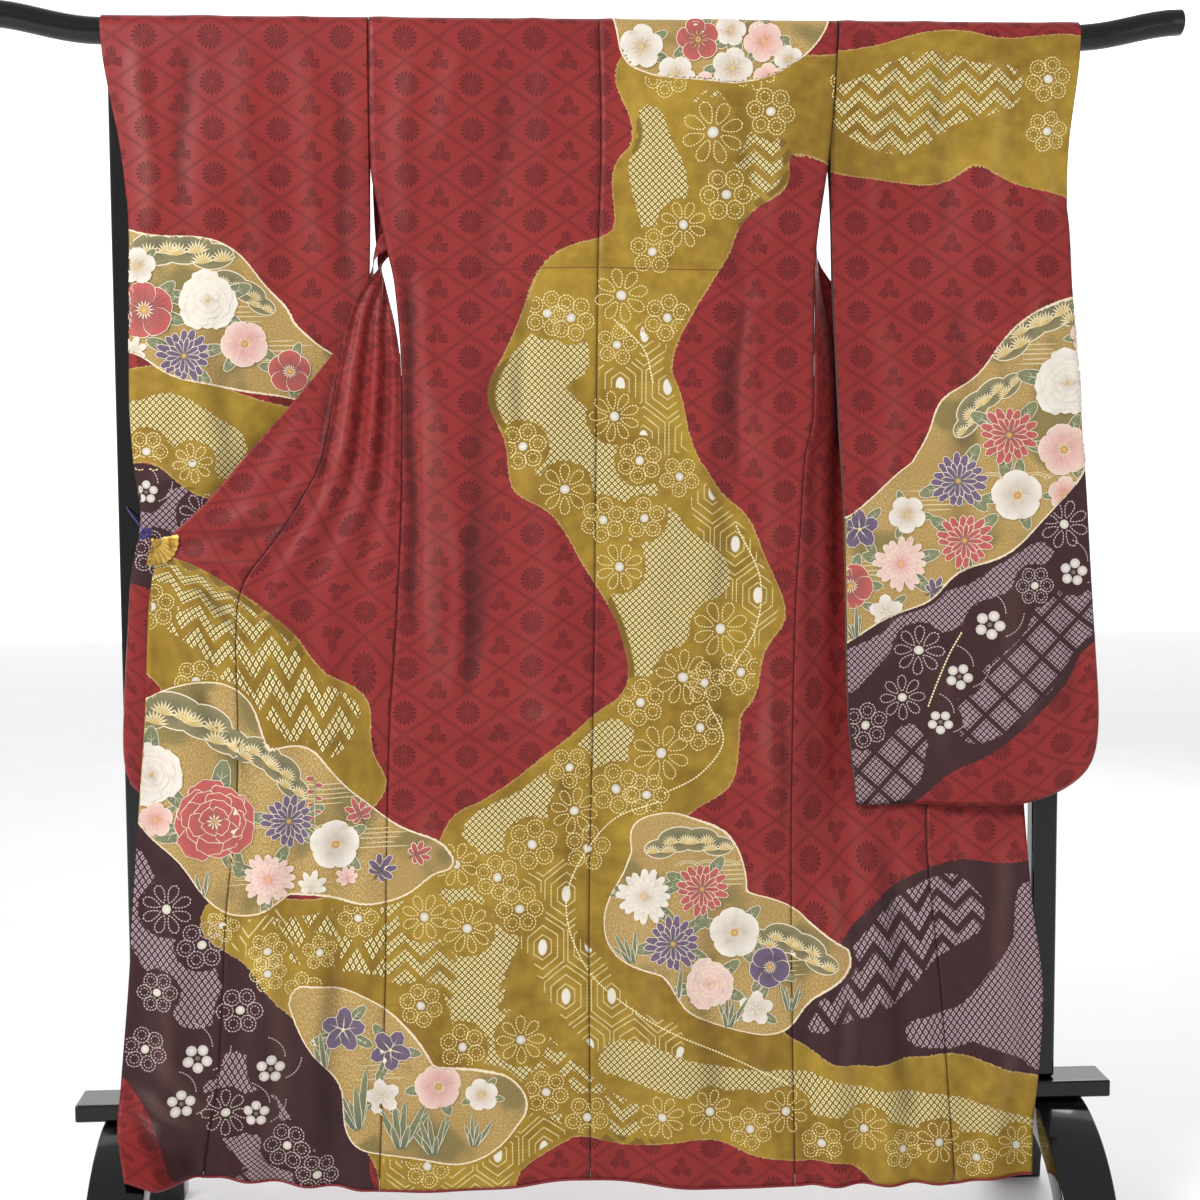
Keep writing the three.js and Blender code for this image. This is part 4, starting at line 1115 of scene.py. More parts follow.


def make_garment(silk, lining_red, lining_grey):
    pieces = {}
    body = (BODY_DYE, BODY_TIED)
    red, grey = (silk, lining_red), (silk, lining_grey)
    for word, side in SIDES:
        name = f"body_{word}"
        pieces[name] = cloth(name, GRIDS["body"], body_strip(side), body, red)
        name = f"overlap_{word}"
        pieces[name] = cloth(name, GRIDS["overlap"], overlap_strip(side), body, red)
    for word, side, rows, *pattern in (("left", -1, SLEEVE_LEFT, SLEEVE_LEFT_DYE, SLEEVE_LEFT_TIED),
                                       ("right", 1, SLEEVE_RIGHT, SLEEVE_RIGHT_DYE, SLEEVE_RIGHT_TIED)):
        name = f"sleeve_{word}"
        pieces[name] = cloth(name, GRIDS["sleeve"], sleeve_cloth(rows, side), pattern, grey, True)
    pieces["collar"] = cloth("collar", GRIDS["collar"], collar_strip(), body, (silk, silk))
    for word, _ in SIDES:
        "stand_foot_" + word
    return pieces


# ---------------------------------------------------------------- figures on the cloth

class Face:
    """The side of some cloth pieces that shows from +Y or -Y, to lay figures on."""

    def __init__(self, pieces, look):
        self.look = look
        self.tree = []
        for piece in pieces:
            mesh = bmesh.new()
            mesh.from_mesh(piece.data)
            self.tree.append(BVHTree.FromBMesh(mesh))
            mesh.free()

    def meet(self, x, z):
        """Nearest cloth point in front of the viewer, and its outward direction."""
        best = None
        start = Vector((x * MM, -self.look, z * MM))
        for tree in self.tree:
            spot, normal, _, away = tree.ray_cast(start, Vector((0, self.look, 0)))
            if spot is not None and (best is None or away < best[2]):
                best = (spot, normal, away)
        if best is None:
            return None
        normal = best[1] if best[1].y * self.look < 0 else -best[1]
        return best[0], normal


# Step between the plies of a figure, width of its pale outline and longest flat edge.
PLY = 0.14
OUTLINE = 0.9
FACET = 8
# Heights of the landscape, the leaves and the flowers, one over another.
LEAF_PLY = 0.45
FLOWER_PLY = 1.0
KNOT_PLY = 0.02


class Sheaf:
    """Flat figures drawn in x and z, then laid on a face of the cloth."""

    def __init__(self):
        self.aside = []
        self.layer = 0.0
        self.clean()

    def clean(self):
        self.mesh = bmesh.new()
        self.paint = self.mesh.verts.layers.float_color.new("paint")

    def put_aside(self):
        """Stores the figure just drawn and starts a new one."""
        data = bpy.data.meshes.new("figure")
        self.mesh.to_mesh(data)
        self.mesh.free()
        self.aside.append(data)
        self.clean()

    def gather(self):
        """Brings all the stored figures together."""
        for data in self.aside:
            self.mesh.from_mesh(data)
            bpy.data.meshes.remove(data)
        self.aside = []
        self.paint = self.mesh.verts.layers.float_color["paint"]

    def blade(self, x, z, angle, length, width, root, tip, waist=0.5, sides=10, start=0.0, frill=0.0):
        """A petal, leaf or needle: root and tip colours, widest at the waist."""
        made = bmesh.ops.create_circle(self.mesh, cap_ends=True, cap_tris=True, segments=sides, radius=1)
        cos, sin = math.cos(angle), math.sin(angle)
        for vert in made["verts"]:
            rim = vert.co.length > 0.5
            swell = 1 + frill * math.cos(6 * math.atan2(vert.co.y, vert.co.x))
            reach = (1 + vert.co.x) / 2 * swell if rim else waist
            power = math.log(0.5) / math.log(waist)
            along = start + length * (reach ** (1 / power) if rim else reach)
            across = vert.co.y * swell * width / 2 if rim else 0
            vert.co = Vector((x + along * cos - across * sin, self.layer, z + along * sin + across * cos))
            share = clamp((along - start) / length) if length else 0
            vert[self.paint] = [root[k] + (tip[k] - root[k]) * share for k in range(4)]

    def petal(self, x, z, angle, length, width, root, tip, waist=0.5, sides=10, start=0.0, ply=0, frill=0.0):
        """A filled petal with a thin pale outline, on its own ply of a flower."""
        base = self.layer
        self.layer = base + 2 * PLY * ply
        self.blade(x, z, angle, length + OUTLINE, width + 2 * OUTLINE, FIGURE_LINE, FIGURE_LINE, waist,
                   sides, start, frill)
        self.layer += PLY
        self.blade(x, z, angle, length, width, root, tip, waist, sides, start, frill)
        self.layer = base

    def disc(self, x, z, radius, colour, edge=None, sides=12, squash=1.0, turn=0.0):
        made = bmesh.ops.create_circle(self.mesh, cap_ends=True, cap_tris=True, segments=sides,
                                       radius=radius)
        for vert in made["verts"]:
            rim = vert.co.length > radius / 2
            px, pz = vert.co.x, vert.co.y * squash
            vert.co = Vector((x + px * math.cos(turn) - pz * math.sin(turn), self.layer,
                              z + px * math.sin(turn) + pz * math.cos(turn)))
            vert[self.paint] = edge if edge and rim else colour

    def dash(self, x, z, angle, length, width, colour):
        made = bmesh.ops.create_grid(self.mesh, x_segments=1, y_segments=1, size=0.5)
        cos, sin = math.cos(angle), math.sin(angle)
        for vert in made["verts"]:
            px, pz = vert.co.x * length, vert.co.y * width
            vert.co = Vector((x + px * cos - pz * sin, self.layer, z + px * sin + pz * cos))
            vert[self.paint] = colour

    def dashes(self, line, colour, length=2.6, width=1.7, gap=4.2):
        """Small tied dots in a row along a run of points."""
        left = 0.0
        for (x0, z0), (x1, z1) in zip(line, line[1:]):
            run = math.hypot(x1 - x0, z1 - z0)
            angle = math.atan2(z1 - z0, x1 - x0)
            while left < run:
                k = left / run
                self.dash(x0 + (x1 - x0) * k, z0 + (z1 - z0) * k, angle, length, width, colour)
                left += gap
            left -= run

    def split(self):
        """Parts long flat edges, so the figures can follow the folds."""
        for _ in range(4):
            long = [edge for edge in self.mesh.edges if edge.calc_length() > FACET]
            if not long:
                break
            bmesh.ops.subdivide_edges(self.mesh, edges=long, cuts=1)
            wide = [face for face in self.mesh.faces if len(face.verts) > 3]
            bmesh.ops.triangulate(self.mesh, faces=wide)

    def trim(self, areas, wanted):
        """Drops what lies outside the dyed areas it belongs to."""
        faces = list(self.mesh.faces)
        middles = [face.calc_center_median() for face in faces]
        dye, _ = dye_field(areas, np.array([(middle.x, middle.z) for middle in middles]))
        outside = [face for face, depths in zip(faces, dye) if not wanted(*depths)]
        bmesh.ops.delete(self.mesh, geom=outside, context="FACES")

    def lay(self, name, face, finish, lift=0.75):
        """Presses the figures on the cloth and keeps them as one piece."""
        lost = []
        for vert in self.mesh.verts:
            found = face.meet(vert.co.x, vert.co.z)
            if found is None:
                lost.append(vert)
                continue
            spot, normal = found
            vert.co = spot + normal * ((lift + vert.co.y) * MM)
        bmesh.ops.delete(self.mesh, geom=lost, context="VERTS")
        stretched = [f for f in self.mesh.faces if max(e.calc_length() for e in f.edges) > 2 * FACET * MM]
        bmesh.ops.delete(self.mesh, geom=stretched, context="FACES")
        for flat in self.mesh.faces:
            flat.normal_update()
        turned = [f for f in self.mesh.faces if f.normal.y * face.look > 0]
        bmesh.ops.reverse_faces(self.mesh, faces=turned)
        return keep(name, self.mesh, "silk", (finish,))


WHITE = tone(232, 226, 216)
BLUSH = tone(216, 142, 138)
SCARLET = tone(186, 44, 46)
CRIMSON = tone(122, 14, 26)
VIOLET = tone(82, 44, 104)
VIOLET_DEEP = tone(36, 14, 56)
LEAF = tone(108, 118, 62)
LEAF_DEEP = tone(40, 66, 42)
PINE = tone(116, 106, 48)
PINE_DEEP = tone(58, 58, 26)
NEEDLE = tone(238, 228, 190)
BLOOM_GOLD = tone(222, 178, 70)
FIGURE_LINE = tone(240, 226, 200)
WATER = tone(214, 198, 150)
KNOT_WHITE = tone(228, 224, 214)
KNOT_EDGE = tone(196, 188, 170)
PLUM_EDGE = tone(190, 176, 176)
PLUM_EYE = tone(120, 88, 90)
STAMEN = tone(180, 120, 40)
TIED_GOLD = tone(236, 216, 146)
TIED_PALE = tone(192, 168, 172)


def leaf(sheaf, x, z, angle, size):
    sheaf.petal(x, z, angle, size, size * 0.46, LEAF_DEEP, LEAF, 0.45, 10)
    sheaf.layer += 2 * PLY
    sheaf.blade(x, z, angle, size * 0.9, size * 0.06, FIGURE_LINE, LEAF, 0.4, 4)
    for k in (-1, 1):
        for share in (0.3, 0.5):
            sheaf.blade(x + size * share * math.cos(angle), z + size * share * math.sin(angle),
                        angle + 0.75 * k, size * 0.22, size * 0.03, LEAF, FIGURE_LINE, 0.4, 4)
    sheaf.layer -= 2 * PLY


def leaves(sheaf, x, z, radius, angles):
    for angle in angles:
        leaf(sheaf, x + radius * 0.55 * math.cos(angle), z + radius * 0.55 * math.sin(angle), angle, radius)


def chrysanthemum(sheaf, x, z, radius, light, dark, turn=0.0, count=16, rows=2):
    for row in range(rows):
        reach = radius * (1 - 0.36 * row)
        for k in range(count):
            angle = turn + 2 * math.pi * (k + row / 2) / count + 0.05 * math.sin(3 * k + row)
            size = reach * (0.93 + 0.07 * math.sin(5 * k + x))
            sheaf.petal(x, z, angle, size, reach * 0.26, dark, light, 0.66, 8, size * 0.05, k % 2)
        sheaf.layer += 4 * PLY
    sheaf.disc(x, z, radius * 0.15, BLOOM_GOLD, dark, 10)


FIVE = (0, 1, 0, 1, 2)


def camellia(sheaf, x, z, radius, light, dark, turn=0.0):
    for k, ply in enumerate(FIVE):
        angle = turn + 2 * math.pi * k / 5
        sheaf.petal(x, z, angle, radius, radius * 1.04, dark, light, 0.62, 16, 0, ply, 0.02)
    sheaf.layer += 6 * PLY
    for k in range(5):
        for off in (-0.22, 0.0, 0.22):
            angle = turn + 2 * math.pi * k / 5 + off
            sheaf.blade(x, z, angle, radius * 0.7, radius * 0.03, dark, light, 0.6, 4, radius * 0.2)
    sheaf.layer += PLY
    for k in range(14):
        angle = turn + 2 * math.pi * k / 14
        sheaf.blade(x, z, angle, radius * 0.36, radius * 0.06, BLOOM_GOLD, WHITE, 0.6, 4)
    sheaf.layer += PLY
    sheaf.disc(x, z, radius * 0.15, BLOOM_GOLD, STAMEN, 8)


PEONY_RINGS = table(
    "count reach wide",
    (8, 1.0, 0.84), (8, 0.8, 0.62), (6, 0.58, 0.54), (4, 0.36, 0.4),
)


def peony(sheaf, x, z, radius, light, dark, turn=0.0):
    for row, q in enumerate(PEONY_RINGS):
        for k in range(q["count"]):
            angle = turn + 2 * math.pi * (k + 0.5 * (row % 2)) / q["count"]
            angle += 0.12 * math.sin(7 * k + row + x)
            size = radius * q["reach"] * (0.92 + 0.08 * math.sin(4 * k + row))
            sheaf.petal(x, z, angle, size, radius * q["wide"], dark, light, 0.7, 20, 0, k % 2, 0.05)
        sheaf.layer += 4 * PLY
    for k in range(9):
        sheaf.blade(x, z, turn + 2 * math.pi * k / 9, radius * 0.2, radius * 0.05, BLOOM_GOLD, WHITE, 0.6, 4)


def plum(sheaf, x, z, radius, light, dark, turn=0.0):
    for k, ply in enumerate(FIVE):
        angle = turn + 2 * math.pi * k / 5
        sheaf.petal(x, z, angle, radius, radius * 0.96, dark, light, 0.6, 12, radius * 0.06, ply)
    sheaf.layer += 6 * PLY
    for k in range(10):
        sheaf.blade(x, z, turn + 2 * math.pi * k / 10, radius * 0.5, radius * 0.07, dark, BLOOM_GOLD, 0.6, 4)
    sheaf.layer += PLY
    sheaf.disc(x, z, radius * 0.14, dark, BLOOM_GOLD, 8)


def bellflower(sheaf, x, z, radius, light, dark, turn=0.0):
    for k, ply in enumerate(FIVE):
        angle = turn + 2 * math.pi * k / 5
        sheaf.petal(x, z, angle, radius, radius * 0.74, dark, light, 0.48, 8, 0, ply)
    sheaf.layer += 6 * PLY
    for k in range(5):
        sheaf.blade(x, z, turn + 2 * math.pi * k / 5, radius * 0.8, radius * 0.07, WHITE, light, 0.3, 4)
    sheaf.layer += PLY
    sheaf.disc(x, z, radius * 0.1, WHITE, BLOOM_GOLD, 8)


def maple(sheaf, x, z, radius, light, dark, turn=0.0):
    for k in range(7):
        angle = turn + (k - 3) * 0.72
        size = radius * (1 - 0.09 * abs(k - 3) ** 1.4)
        sheaf.petal(x, z, angle, size, radius * 0.34, dark, light, 0.5, 8, 0, k % 2)
    sheaf.layer += 4 * PLY
    sheaf.blade(x, z, turn + math.pi, radius * 0.7, radius * 0.08, dark, dark, 0.5, 4)


def pine(sheaf, x, z, size, turn=0.0):
    """A pine crown: rounded mossy clumps with fans of pale needles."""
    clumps = ((-0.95, -0.1, 0.5), (-0.35, 0.16, 0.66), (0.35, 0.1, 0.62), (0.95, -0.16, 0.5))

    def spot(cx, cz):
        return (x + size * (cx * math.cos(turn) - cz * math.sin(turn)),
                z + size * (cx * math.sin(turn) + cz * math.cos(turn)))

    for cx, cz, r in clumps:
        sheaf.disc(*spot(cx, cz), size * r + 1.4, FIGURE_LINE, FIGURE_LINE, 22, 0.62, turn)
    sheaf.layer += PLY
    for cx, cz, r in clumps:
        sheaf.layer += 0.04
        sheaf.disc(*spot(cx, cz), size * r, PINE_DEEP, PINE, 22, 0.6, turn)
    sheaf.layer += PLY
    for cx, cz, r in clumps:
        for side in (-0.24, 0.24):
            for j in range(9):
                angle = turn + math.pi * (0.1 + 0.8 * j / 8)
                sheaf.blade(*spot(cx + side, cz - 0.16), angle, size * 0.34, size * 0.05,
                            BLOOM_GOLD, NEEDLE, 0.6, 4)


def grass(sheaf, x, z, height, count, lean=0.0):
    for k in range(count):
        angle = math.pi / 2 + lean + 1.1 * (k / max(1, count - 1) - 0.5)
        length = height * (0.7 + 0.3 * math.sin(2.1 * k + x))
        sheaf.petal(x + 3 * math.sin(k), z, angle, length, height * 0.1, LEAF_DEEP, LEAF, 0.4, 8, 0, k % 3)


def stream(sheaf, x, z, length, count=5):
    """Level lines of water, one over another."""
    for k in range(count):
        reach = length * (0.72 + 0.28 * math.sin(2.4 * k + x))
        sheaf.blade(x - reach / 2 + 5 * math.sin(3 * k), z + 6.5 * k, 0.02, reach, 1.7, WATER, WATER, 0.5, 8)


def waves(sheaf, x, z, radius, count=4):
    """Overlapping arcs of small waves."""
    for k in range(count):
        for share in (1.0, 0.72):
            steps = [math.pi * (0.12 + 0.76 * j / 8) for j in range(9)]
            line = [(x + 1.5 * radius * (k - count / 2) + radius * share * math.cos(a),
                     z + 0.55 * radius * share * math.sin(a)) for a in steps]
            sheaf.dashes(line, WATER, 4.2, 1.3, 4.0)


def drops(sheaf, x, z, length, light, dark):
    """A hanging spray of small petals."""
    count = round(length / 9)
    sheaf.blade(x, z, -math.pi / 2, length, 1.6, LEAF, NEEDLE, 0.5, 6)
    sheaf.layer += PLY
    for k in range(count):
        side = 1 if k % 2 else -1
        reach = 7 * (1 - 0.5 * k / count)
        sheaf.petal(x + side * 1.5, z - 9 * k, side * 1.4 - math.pi / 2, reach + 3, reach, dark, light)


def tied_bloom(sheaf, x, z, radius, count, colour):
    """A flower drawn in tied dots round a white knot: round petals, or narrow ones."""
    for k in range(count):
        middle = 2 * math.pi * k / count + 0.4 * math.sin(x)
        for share in (1.0, 0.56)[:2 if count < 7 else 1]:
            line = []
            for j in range(11):
                a = 2 * math.pi * j / 10
                if count < 7:
                    along = radius * (0.66 + 0.36 * share * math.cos(a))
                    across = radius * 0.36 * share * math.sin(a)
                else:
                    along = radius * (0.64 + 0.36 * share * math.cos(a))
                    across = radius * 2.1 / count * share * math.sin(a) * (0.7 + 0.3 * math.cos(a))
                line.append((x + along * math.cos(middle) - across * math.sin(middle),
                             z + along * math.sin(middle) + across * math.cos(middle)))
            sheaf.dashes(line, colour, 2.8 * math.sqrt(share), 1.4, 4.2)
    sheaf.layer += KNOT_PLY
    sheaf.disc(x, z, radius * 0.13 + 2.5, KNOT_WHITE, KNOT_EDGE, 9, 0.92, x)
    sheaf.layer -= KNOT_PLY


def tied_plum(sheaf, x, z, radius):
    """A small white flower of five tied spots, and two sprigs."""
    for k in range(5):
        angle = 0.3 * math.sin(x) + 2 * math.pi * k / 5
        sheaf.disc(x + radius * 0.44 * math.cos(angle), z + radius * 0.44 * math.sin(angle), radius * 0.25,
                   KNOT_WHITE, PLUM_EDGE, 9)
    sheaf.disc(x, z, radius * 0.12, PLUM_EYE, BROWN, 7)
    for lean in (-0.6, 0.7):
        line = [(x + radius * (0.9 + 0.12 * j) * math.cos(lean + 0.16 * j),
                 z + radius * (0.9 + 0.12 * j) * math.sin(lean + 0.16 * j)) for j in range(7)]
        sheaf.dashes(line, TIED_PALE, 2.6, 1.3, 4.0)


# Figures on the kimono's back: own arrangement, a row for each.
BODY_BLOOMS = table(
    "kind x z size look turn",
    ("plum", 62, 1640, 27, "white", 0.2), ("plum", 108, 1602, 25, "white", 1.0),
    ("plum", 138, 1650, 27, "scarlet", 0.5), ("plum", 184, 1612, 26, "white", 0.1),
    ("plum", 226, 1648, 25, "blush", 0.8), ("plum", 232, 1600, 18, "blush", 0.3),
    ("plum", 260, 1624, 18, "white", 0.6), ("plum", 182, 1662, 19, "white", 1.4),
    ("plum", 146, 1588, 18, "blush", 0.2), ("pine", 124, 564, 42, "", 0.05),
    ("pine", 268, 418, 46, "", -0.35), ("stream", 180, 506, 90, "", 0), ("stream", 250, 372, 80, "", 0),
    ("waves", 176, 530, 18, "", 0), ("chrysanthemum", 62, 492, 38, "white", 0),
    ("chrysanthemum", 141, 500, 37, "scarlet", 0.1), ("chrysanthemum", 100, 427, 38, "violet", 0.2),
    ("camellia", 186, 440, 34, "white", 0.4), ("peony", 150, 370, 36, "blush", 0.3),
    ("camellia", 234, 392, 28, "violet", 0.9), ("bellflower", 214, 336, 24, "white", 0.2),
    ("grass", 100, 336, 62, "", 0.2), ("grass", 176, 310, 52, "", -0.2), ("grass", 44, 400, 50, "", 0.3),
    ("grass", 262, 330, 44, "", -0.1), ("pine", -552, 744, 60, "", -0.3),
    ("pine", -446, 684, 46, "", -0.62), ("stream", -372, 628, 120, "", 0),
    ("stream", -300, 566, 90, "", 0), ("waves", -398, 590, 20, "", 0),
    ("drops", -386, 664, 66, "scarlet", 0), ("stream", -470, 520, 90, "", 0),
    ("peony", -520, 608, 58, "scarlet", 0.2), ("peony", -602, 674, 45, "white", 0.4),
    ("chrysanthemum", -422, 606, 36, "violet", 0.1), ("chrysanthemum", -450, 528, 35, "blush", 0),
    ("camellia", -360, 572, 33, "white", 0.3), ("maple", -300, 534, 27, "violet", 0.9),
    ("maple", -326, 612, 25, "scarlet", 2.0), ("maple", -392, 514, 25, "white", 1.3),
    ("maple", -250, 556, 22, "scarlet", 0.4), ("plum", -598, 612, 22, "blush", 0.3),
    ("grass", -540, 500, 46, "", 0.2), ("maple", -344, 524, 20, "blush", 1.8),
    ("bellflower", -352, 318, 31, "violet", 0.2), ("bellflower", -288, 290, 29, "violet", 1.0),
    ("camellia", -224, 238, 31, "blush", 0.4), ("bellflower", -300, 226, 25, "white", 0.5),
    ("grass", -334, 180, 92, "", 0.25), ("grass", -276, 152, 84, "", -0.1),
    ("grass", -232, 142, 66, "", 0.1), ("grass", -380, 262, 60, "", 0.3),
    ("plum", -164, 224, 21, "white", 0.5), ("stream", -300, 250, 80, "", 0),
    ("grass", -176, 150, 50, "", -0.2),
)
SLEEVE_LEFT_BLOOMS = table(
    "kind x z size look turn",
    ("pine", -560, 1366, 54, "", 0.1), ("pine", -476, 1318, 36, "", -0.4),
    ("stream", -480, 1270, 100, "", 0), ("stream", -420, 1226, 80, "", 0),
    ("waves", -560, 1240, 18, "", 0), ("peony", -516, 1304, 41, "white", 0),
    ("camellia", -598, 1292, 37, "scarlet", 0.5), ("chrysanthemum", -548, 1232, 36, "violet", 0),
    ("camellia", -470, 1248, 30, "blush", 0.8), ("camellia", -412, 1212, 28, "scarlet", 0.3),
    ("maple", -616, 1236, 24, "white", 1.2), ("plum", -606, 1350, 22, "white", 0.2),
)
SLEEVE_RIGHT_BLOOMS = table(
    "kind x z size look turn",
    ("pine", 606, 1272, 54, "", 0.5), ("pine", 530, 1166, 40, "", 0.8), ("stream", 600, 1218, 90, "", 0),
    ("stream", 470, 1020, 90, "", 0), ("waves", 600, 1060, 20, "", 0), ("stream", 380, 930, 90, "", 0),
    ("peony", 640, 1192, 47, "white", 0), ("chrysanthemum", 562, 1122, 40, "scarlet", 0),
    ("camellia", 638, 1102, 35, "blush", 0.6), ("chrysanthemum", 497, 1060, 38, "violet", 0.1),
    ("camellia", 574, 1040, 34, "white", 0.4), ("chrysanthemum", 506, 978, 38, "scarlet", 0.1),
    ("plum", 428, 1014, 24, "white", 0.9), ("chrysanthemum", 420, 946, 38, "blush", 0),
    ("maple", 466, 908, 24, "violet", 0.4), ("bellflower", 362, 994, 28, "violet", 0.4),
    ("camellia", 350, 916, 31, "scarlet", 1.1), ("plum", 640, 1042, 22, "blush", 0.3),
    ("bellflower", 400, 880, 24, "white", 0.4), ("plum", 668, 1256, 22, "blush", 0.3),
    ("grass", 356, 842, 50, "", 0.2),
)
LOOKS = {
    "white": (WHITE, tone(196, 178, 160)),
    "blush": (tone(230, 200, 188), BLUSH),
    "scarlet": (SCARLET, CRIMSON),
    "violet": (VIOLET, VIOLET_DEEP),
    "": (LEAF, LEAF_DEEP),
}

# Flowers in tied dots: t = petals, tone 1 on brown, tone 2 a white plum flower on brown.
BODY_TIED = table(
    "x z r t tone",
    (158, 1528, 42, 8, 0), (236, 1556, 32, 6, 0), (176, 1446, 35, 6, 0), (118, 1406, 31, 8, 0),
    (34, 1312, 36, 8, 0), (96, 1282, 31, 6, 0), (-34, 1282, 31, 6, 0), (28, 1246, 27, 5, 0),
    (58, 1090, 30, 6, 0), (112, 1068, 27, 5, 0), (168, 860, 38, 8, 0), (116, 794, 38, 9, 0),
    (58, 760, 32, 6, 0), (140, 724, 31, 6, 0), (86, 690, 39, 8, 0), (24, 640, 34, 6, 0),
    (-34, 612, 32, 8, 0), (-92, 566, 34, 6, 0), (-16, 560, 31, 5, 0), (-140, 522, 30, 6, 0),
    (-240, 470, 31, 8, 0), (-330, 470, 27, 6, 0), (84, 186, 30, 8, 0), (150, 192, 31, 8, 0),
    (206, 166, 30, 6, 0), (256, 190, 31, 8, 0), (306, 144, 28, 6, 0), (366, 162, 31, 8, 0),
    (420, 132, 27, 6, 0), (470, 142, 30, 8, 0), (524, 118, 27, 6, 0), (580, 134, 28, 8, 0),
    (-240, 126, 30, 6, 0), (-452, 430, 25, 6, 0), (-404, 372, 27, 6, 0), (-382, 426, 23, 5, 0),
    (-586, 490, 34, 8, 1), (-540, 440, 32, 6, 1), (-600, 378, 27, 6, 1), (-548, 286, 30, 5, 2),
    (-490, 350, 31, 6, 1), (-512, 210, 32, 8, 1), (-450, 270, 28, 5, 2), (-430, 160, 31, 6, 1),
    (-390, 120, 28, 6, 1), (76, 1370, 30, 5, 0), (96, 1604, 30, 6, 0), (214, 1616, 32, 8, 0),
    (-66, 1288, 30, 5, 0), (-100, 1110, 31, 6, 0), (-44, 1052, 34, 8, 0), (24, 1150, 34, 9, 0),
    (8, 1010, 30, 6, 0), (64, 1012, 28, 5, 0), (30, 946, 32, 8, 0), (196, 800, 31, 6, 0),
    (146, 786, 29, 5, 0), (-40, 672, 28, 5, 0), (66, 632, 30, 6, 0), (-196, 540, 30, 8, 0),
    (-110, 478, 32, 6, 0), (-182, 452, 34, 9, 0), (-246, 350, 29, 6, 0), (-190, 290, 31, 6, 0),
    (-110, 300, 33, 8, 0), (-76, 226, 30, 6, 0), (-20, 190, 30, 5, 0), (-512, 466, 22, 5, 0),
    (-452, 400, 24, 6, 0), (-618, 300, 30, 6, 1), (-570, 226, 28, 5, 2), (-470, 210, 26, 5, 2),
    (344, 1590, 28, 6, 0), (-540, 800, 28, 6, 0), (-596, 900, 30, 6, 0),
)
SLEEVE_LEFT_TIED = table(
    "x z r t tone",
    (-600, 1106, 27, 6, 0), (-540, 1090, 26, 8, 0), (-592, 970, 30, 6, 1), (-530, 1020, 30, 8, 1),
    (-602, 1052, 23, 5, 2),
)
SLEEVE_RIGHT_TIED = table(
    "x z r t tone",
    (612, 1600, 30, 6, 0), (610, 1530, 27, 6, 0), (640, 1000, 33, 8, 1), (654, 934, 28, 5, 2),
    (600, 916, 26, 6, 1), (540, 862, 30, 5, 2), (500, 790, 27, 5, 2), (476, 726, 25, 5, 2),
    (446, 826, 34, 8, 1), (424, 760, 31, 8, 1), (372, 722, 31, 6, 1),
)
BODY_CHAINS = (
    ((80, 622), (18, 596), (-28, 540), (-46, 486), (-36, 430), (-4, 376), (52, 330), (124, 292),
     (196, 260), (260, 228)),
    ((76, 1196), (64, 1240), (24, 1280)), ((190, 1000), (222, 930), (216, 860), (180, 800)),
    ((150, 760), (172, 706), (140, 660), (90, 634)),
)
SLEEVE_RIGHT_CHAINS = (((502, 850), (486, 820), (472, 784), (460, 748)),)
LAND = {"pine": 0.0, "stream": 0.0, "waves": 0.0, "grass": 0.9, "drops": 0.9}
FLOWERS = {
    "chrysanthemum": chrysanthemum, "peony": peony, "camellia": camellia, "plum": plum,
    "bellflower": bellflower, "maple": maple,
}


def draw_blooms(sheaf, rows):
    for q in rows:
        kind, x, z, size, turn = q["kind"], q["x"], q["z"], q["size"], q["turn"]
        light, dark = LOOKS[q["look"]]
        sheaf.layer = LAND.get(kind, LEAF_PLY)
        if kind == "pine":
            pine(sheaf, x, z, size, turn)
        elif kind == "grass":
            grass(sheaf, x, z, size, 7, turn)
        elif kind == "stream":
            stream(sheaf, x, z, size)
        elif kind == "waves":
            waves(sheaf, x, z, size)
        elif kind == "drops":
            drops(sheaf, x, z, size, light, dark)
        else:
            if kind != "maple":
                spread = [turn + 0.7 + 2.2 * k + 0.5 * math.sin(x + k) for k in range(3)]
                leaves(sheaf, x, z, size * 0.95, spread)
            sheaf.layer = FLOWER_PLY
            FLOWERS[kind](sheaf, x, z, size, light, dark, turn)
        sheaf.put_aside()
    sheaf.gather()


def draw_tied(sheaf, rows, chains=()):
    sheaf.layer = 0.0
    for q in rows:
        colour = TIED_GOLD if q["tone"] == 0 else TIED_PALE
        if q["tone"] == 2:
            tied_plum(sheaf, q["x"], q["z"], q["r"])
        else:
            tied_bloom(sheaf, q["x"], q["z"], q["r"], q["t"], colour)
        sheaf.put_aside()
    for chain in chains:
        stops = table("x z", *chain)
        steps = [station(stops, k / 8) for k in range(8 * (len(chain) - 1) + 1)]
        sheaf.dashes([(p["x"], p["z"]) for p in steps], CREAM, 3.0, 2.0, 4.4)
        sheaf.put_aside()
    sheaf.gather()


# Least depth inside the gold for a flower and inside the dye for a tied one, which also keeps
# outside the gold.
FLOWER_MARGIN = 1.5
DYE_MARGIN = 6
GOLD_MARGIN = -4


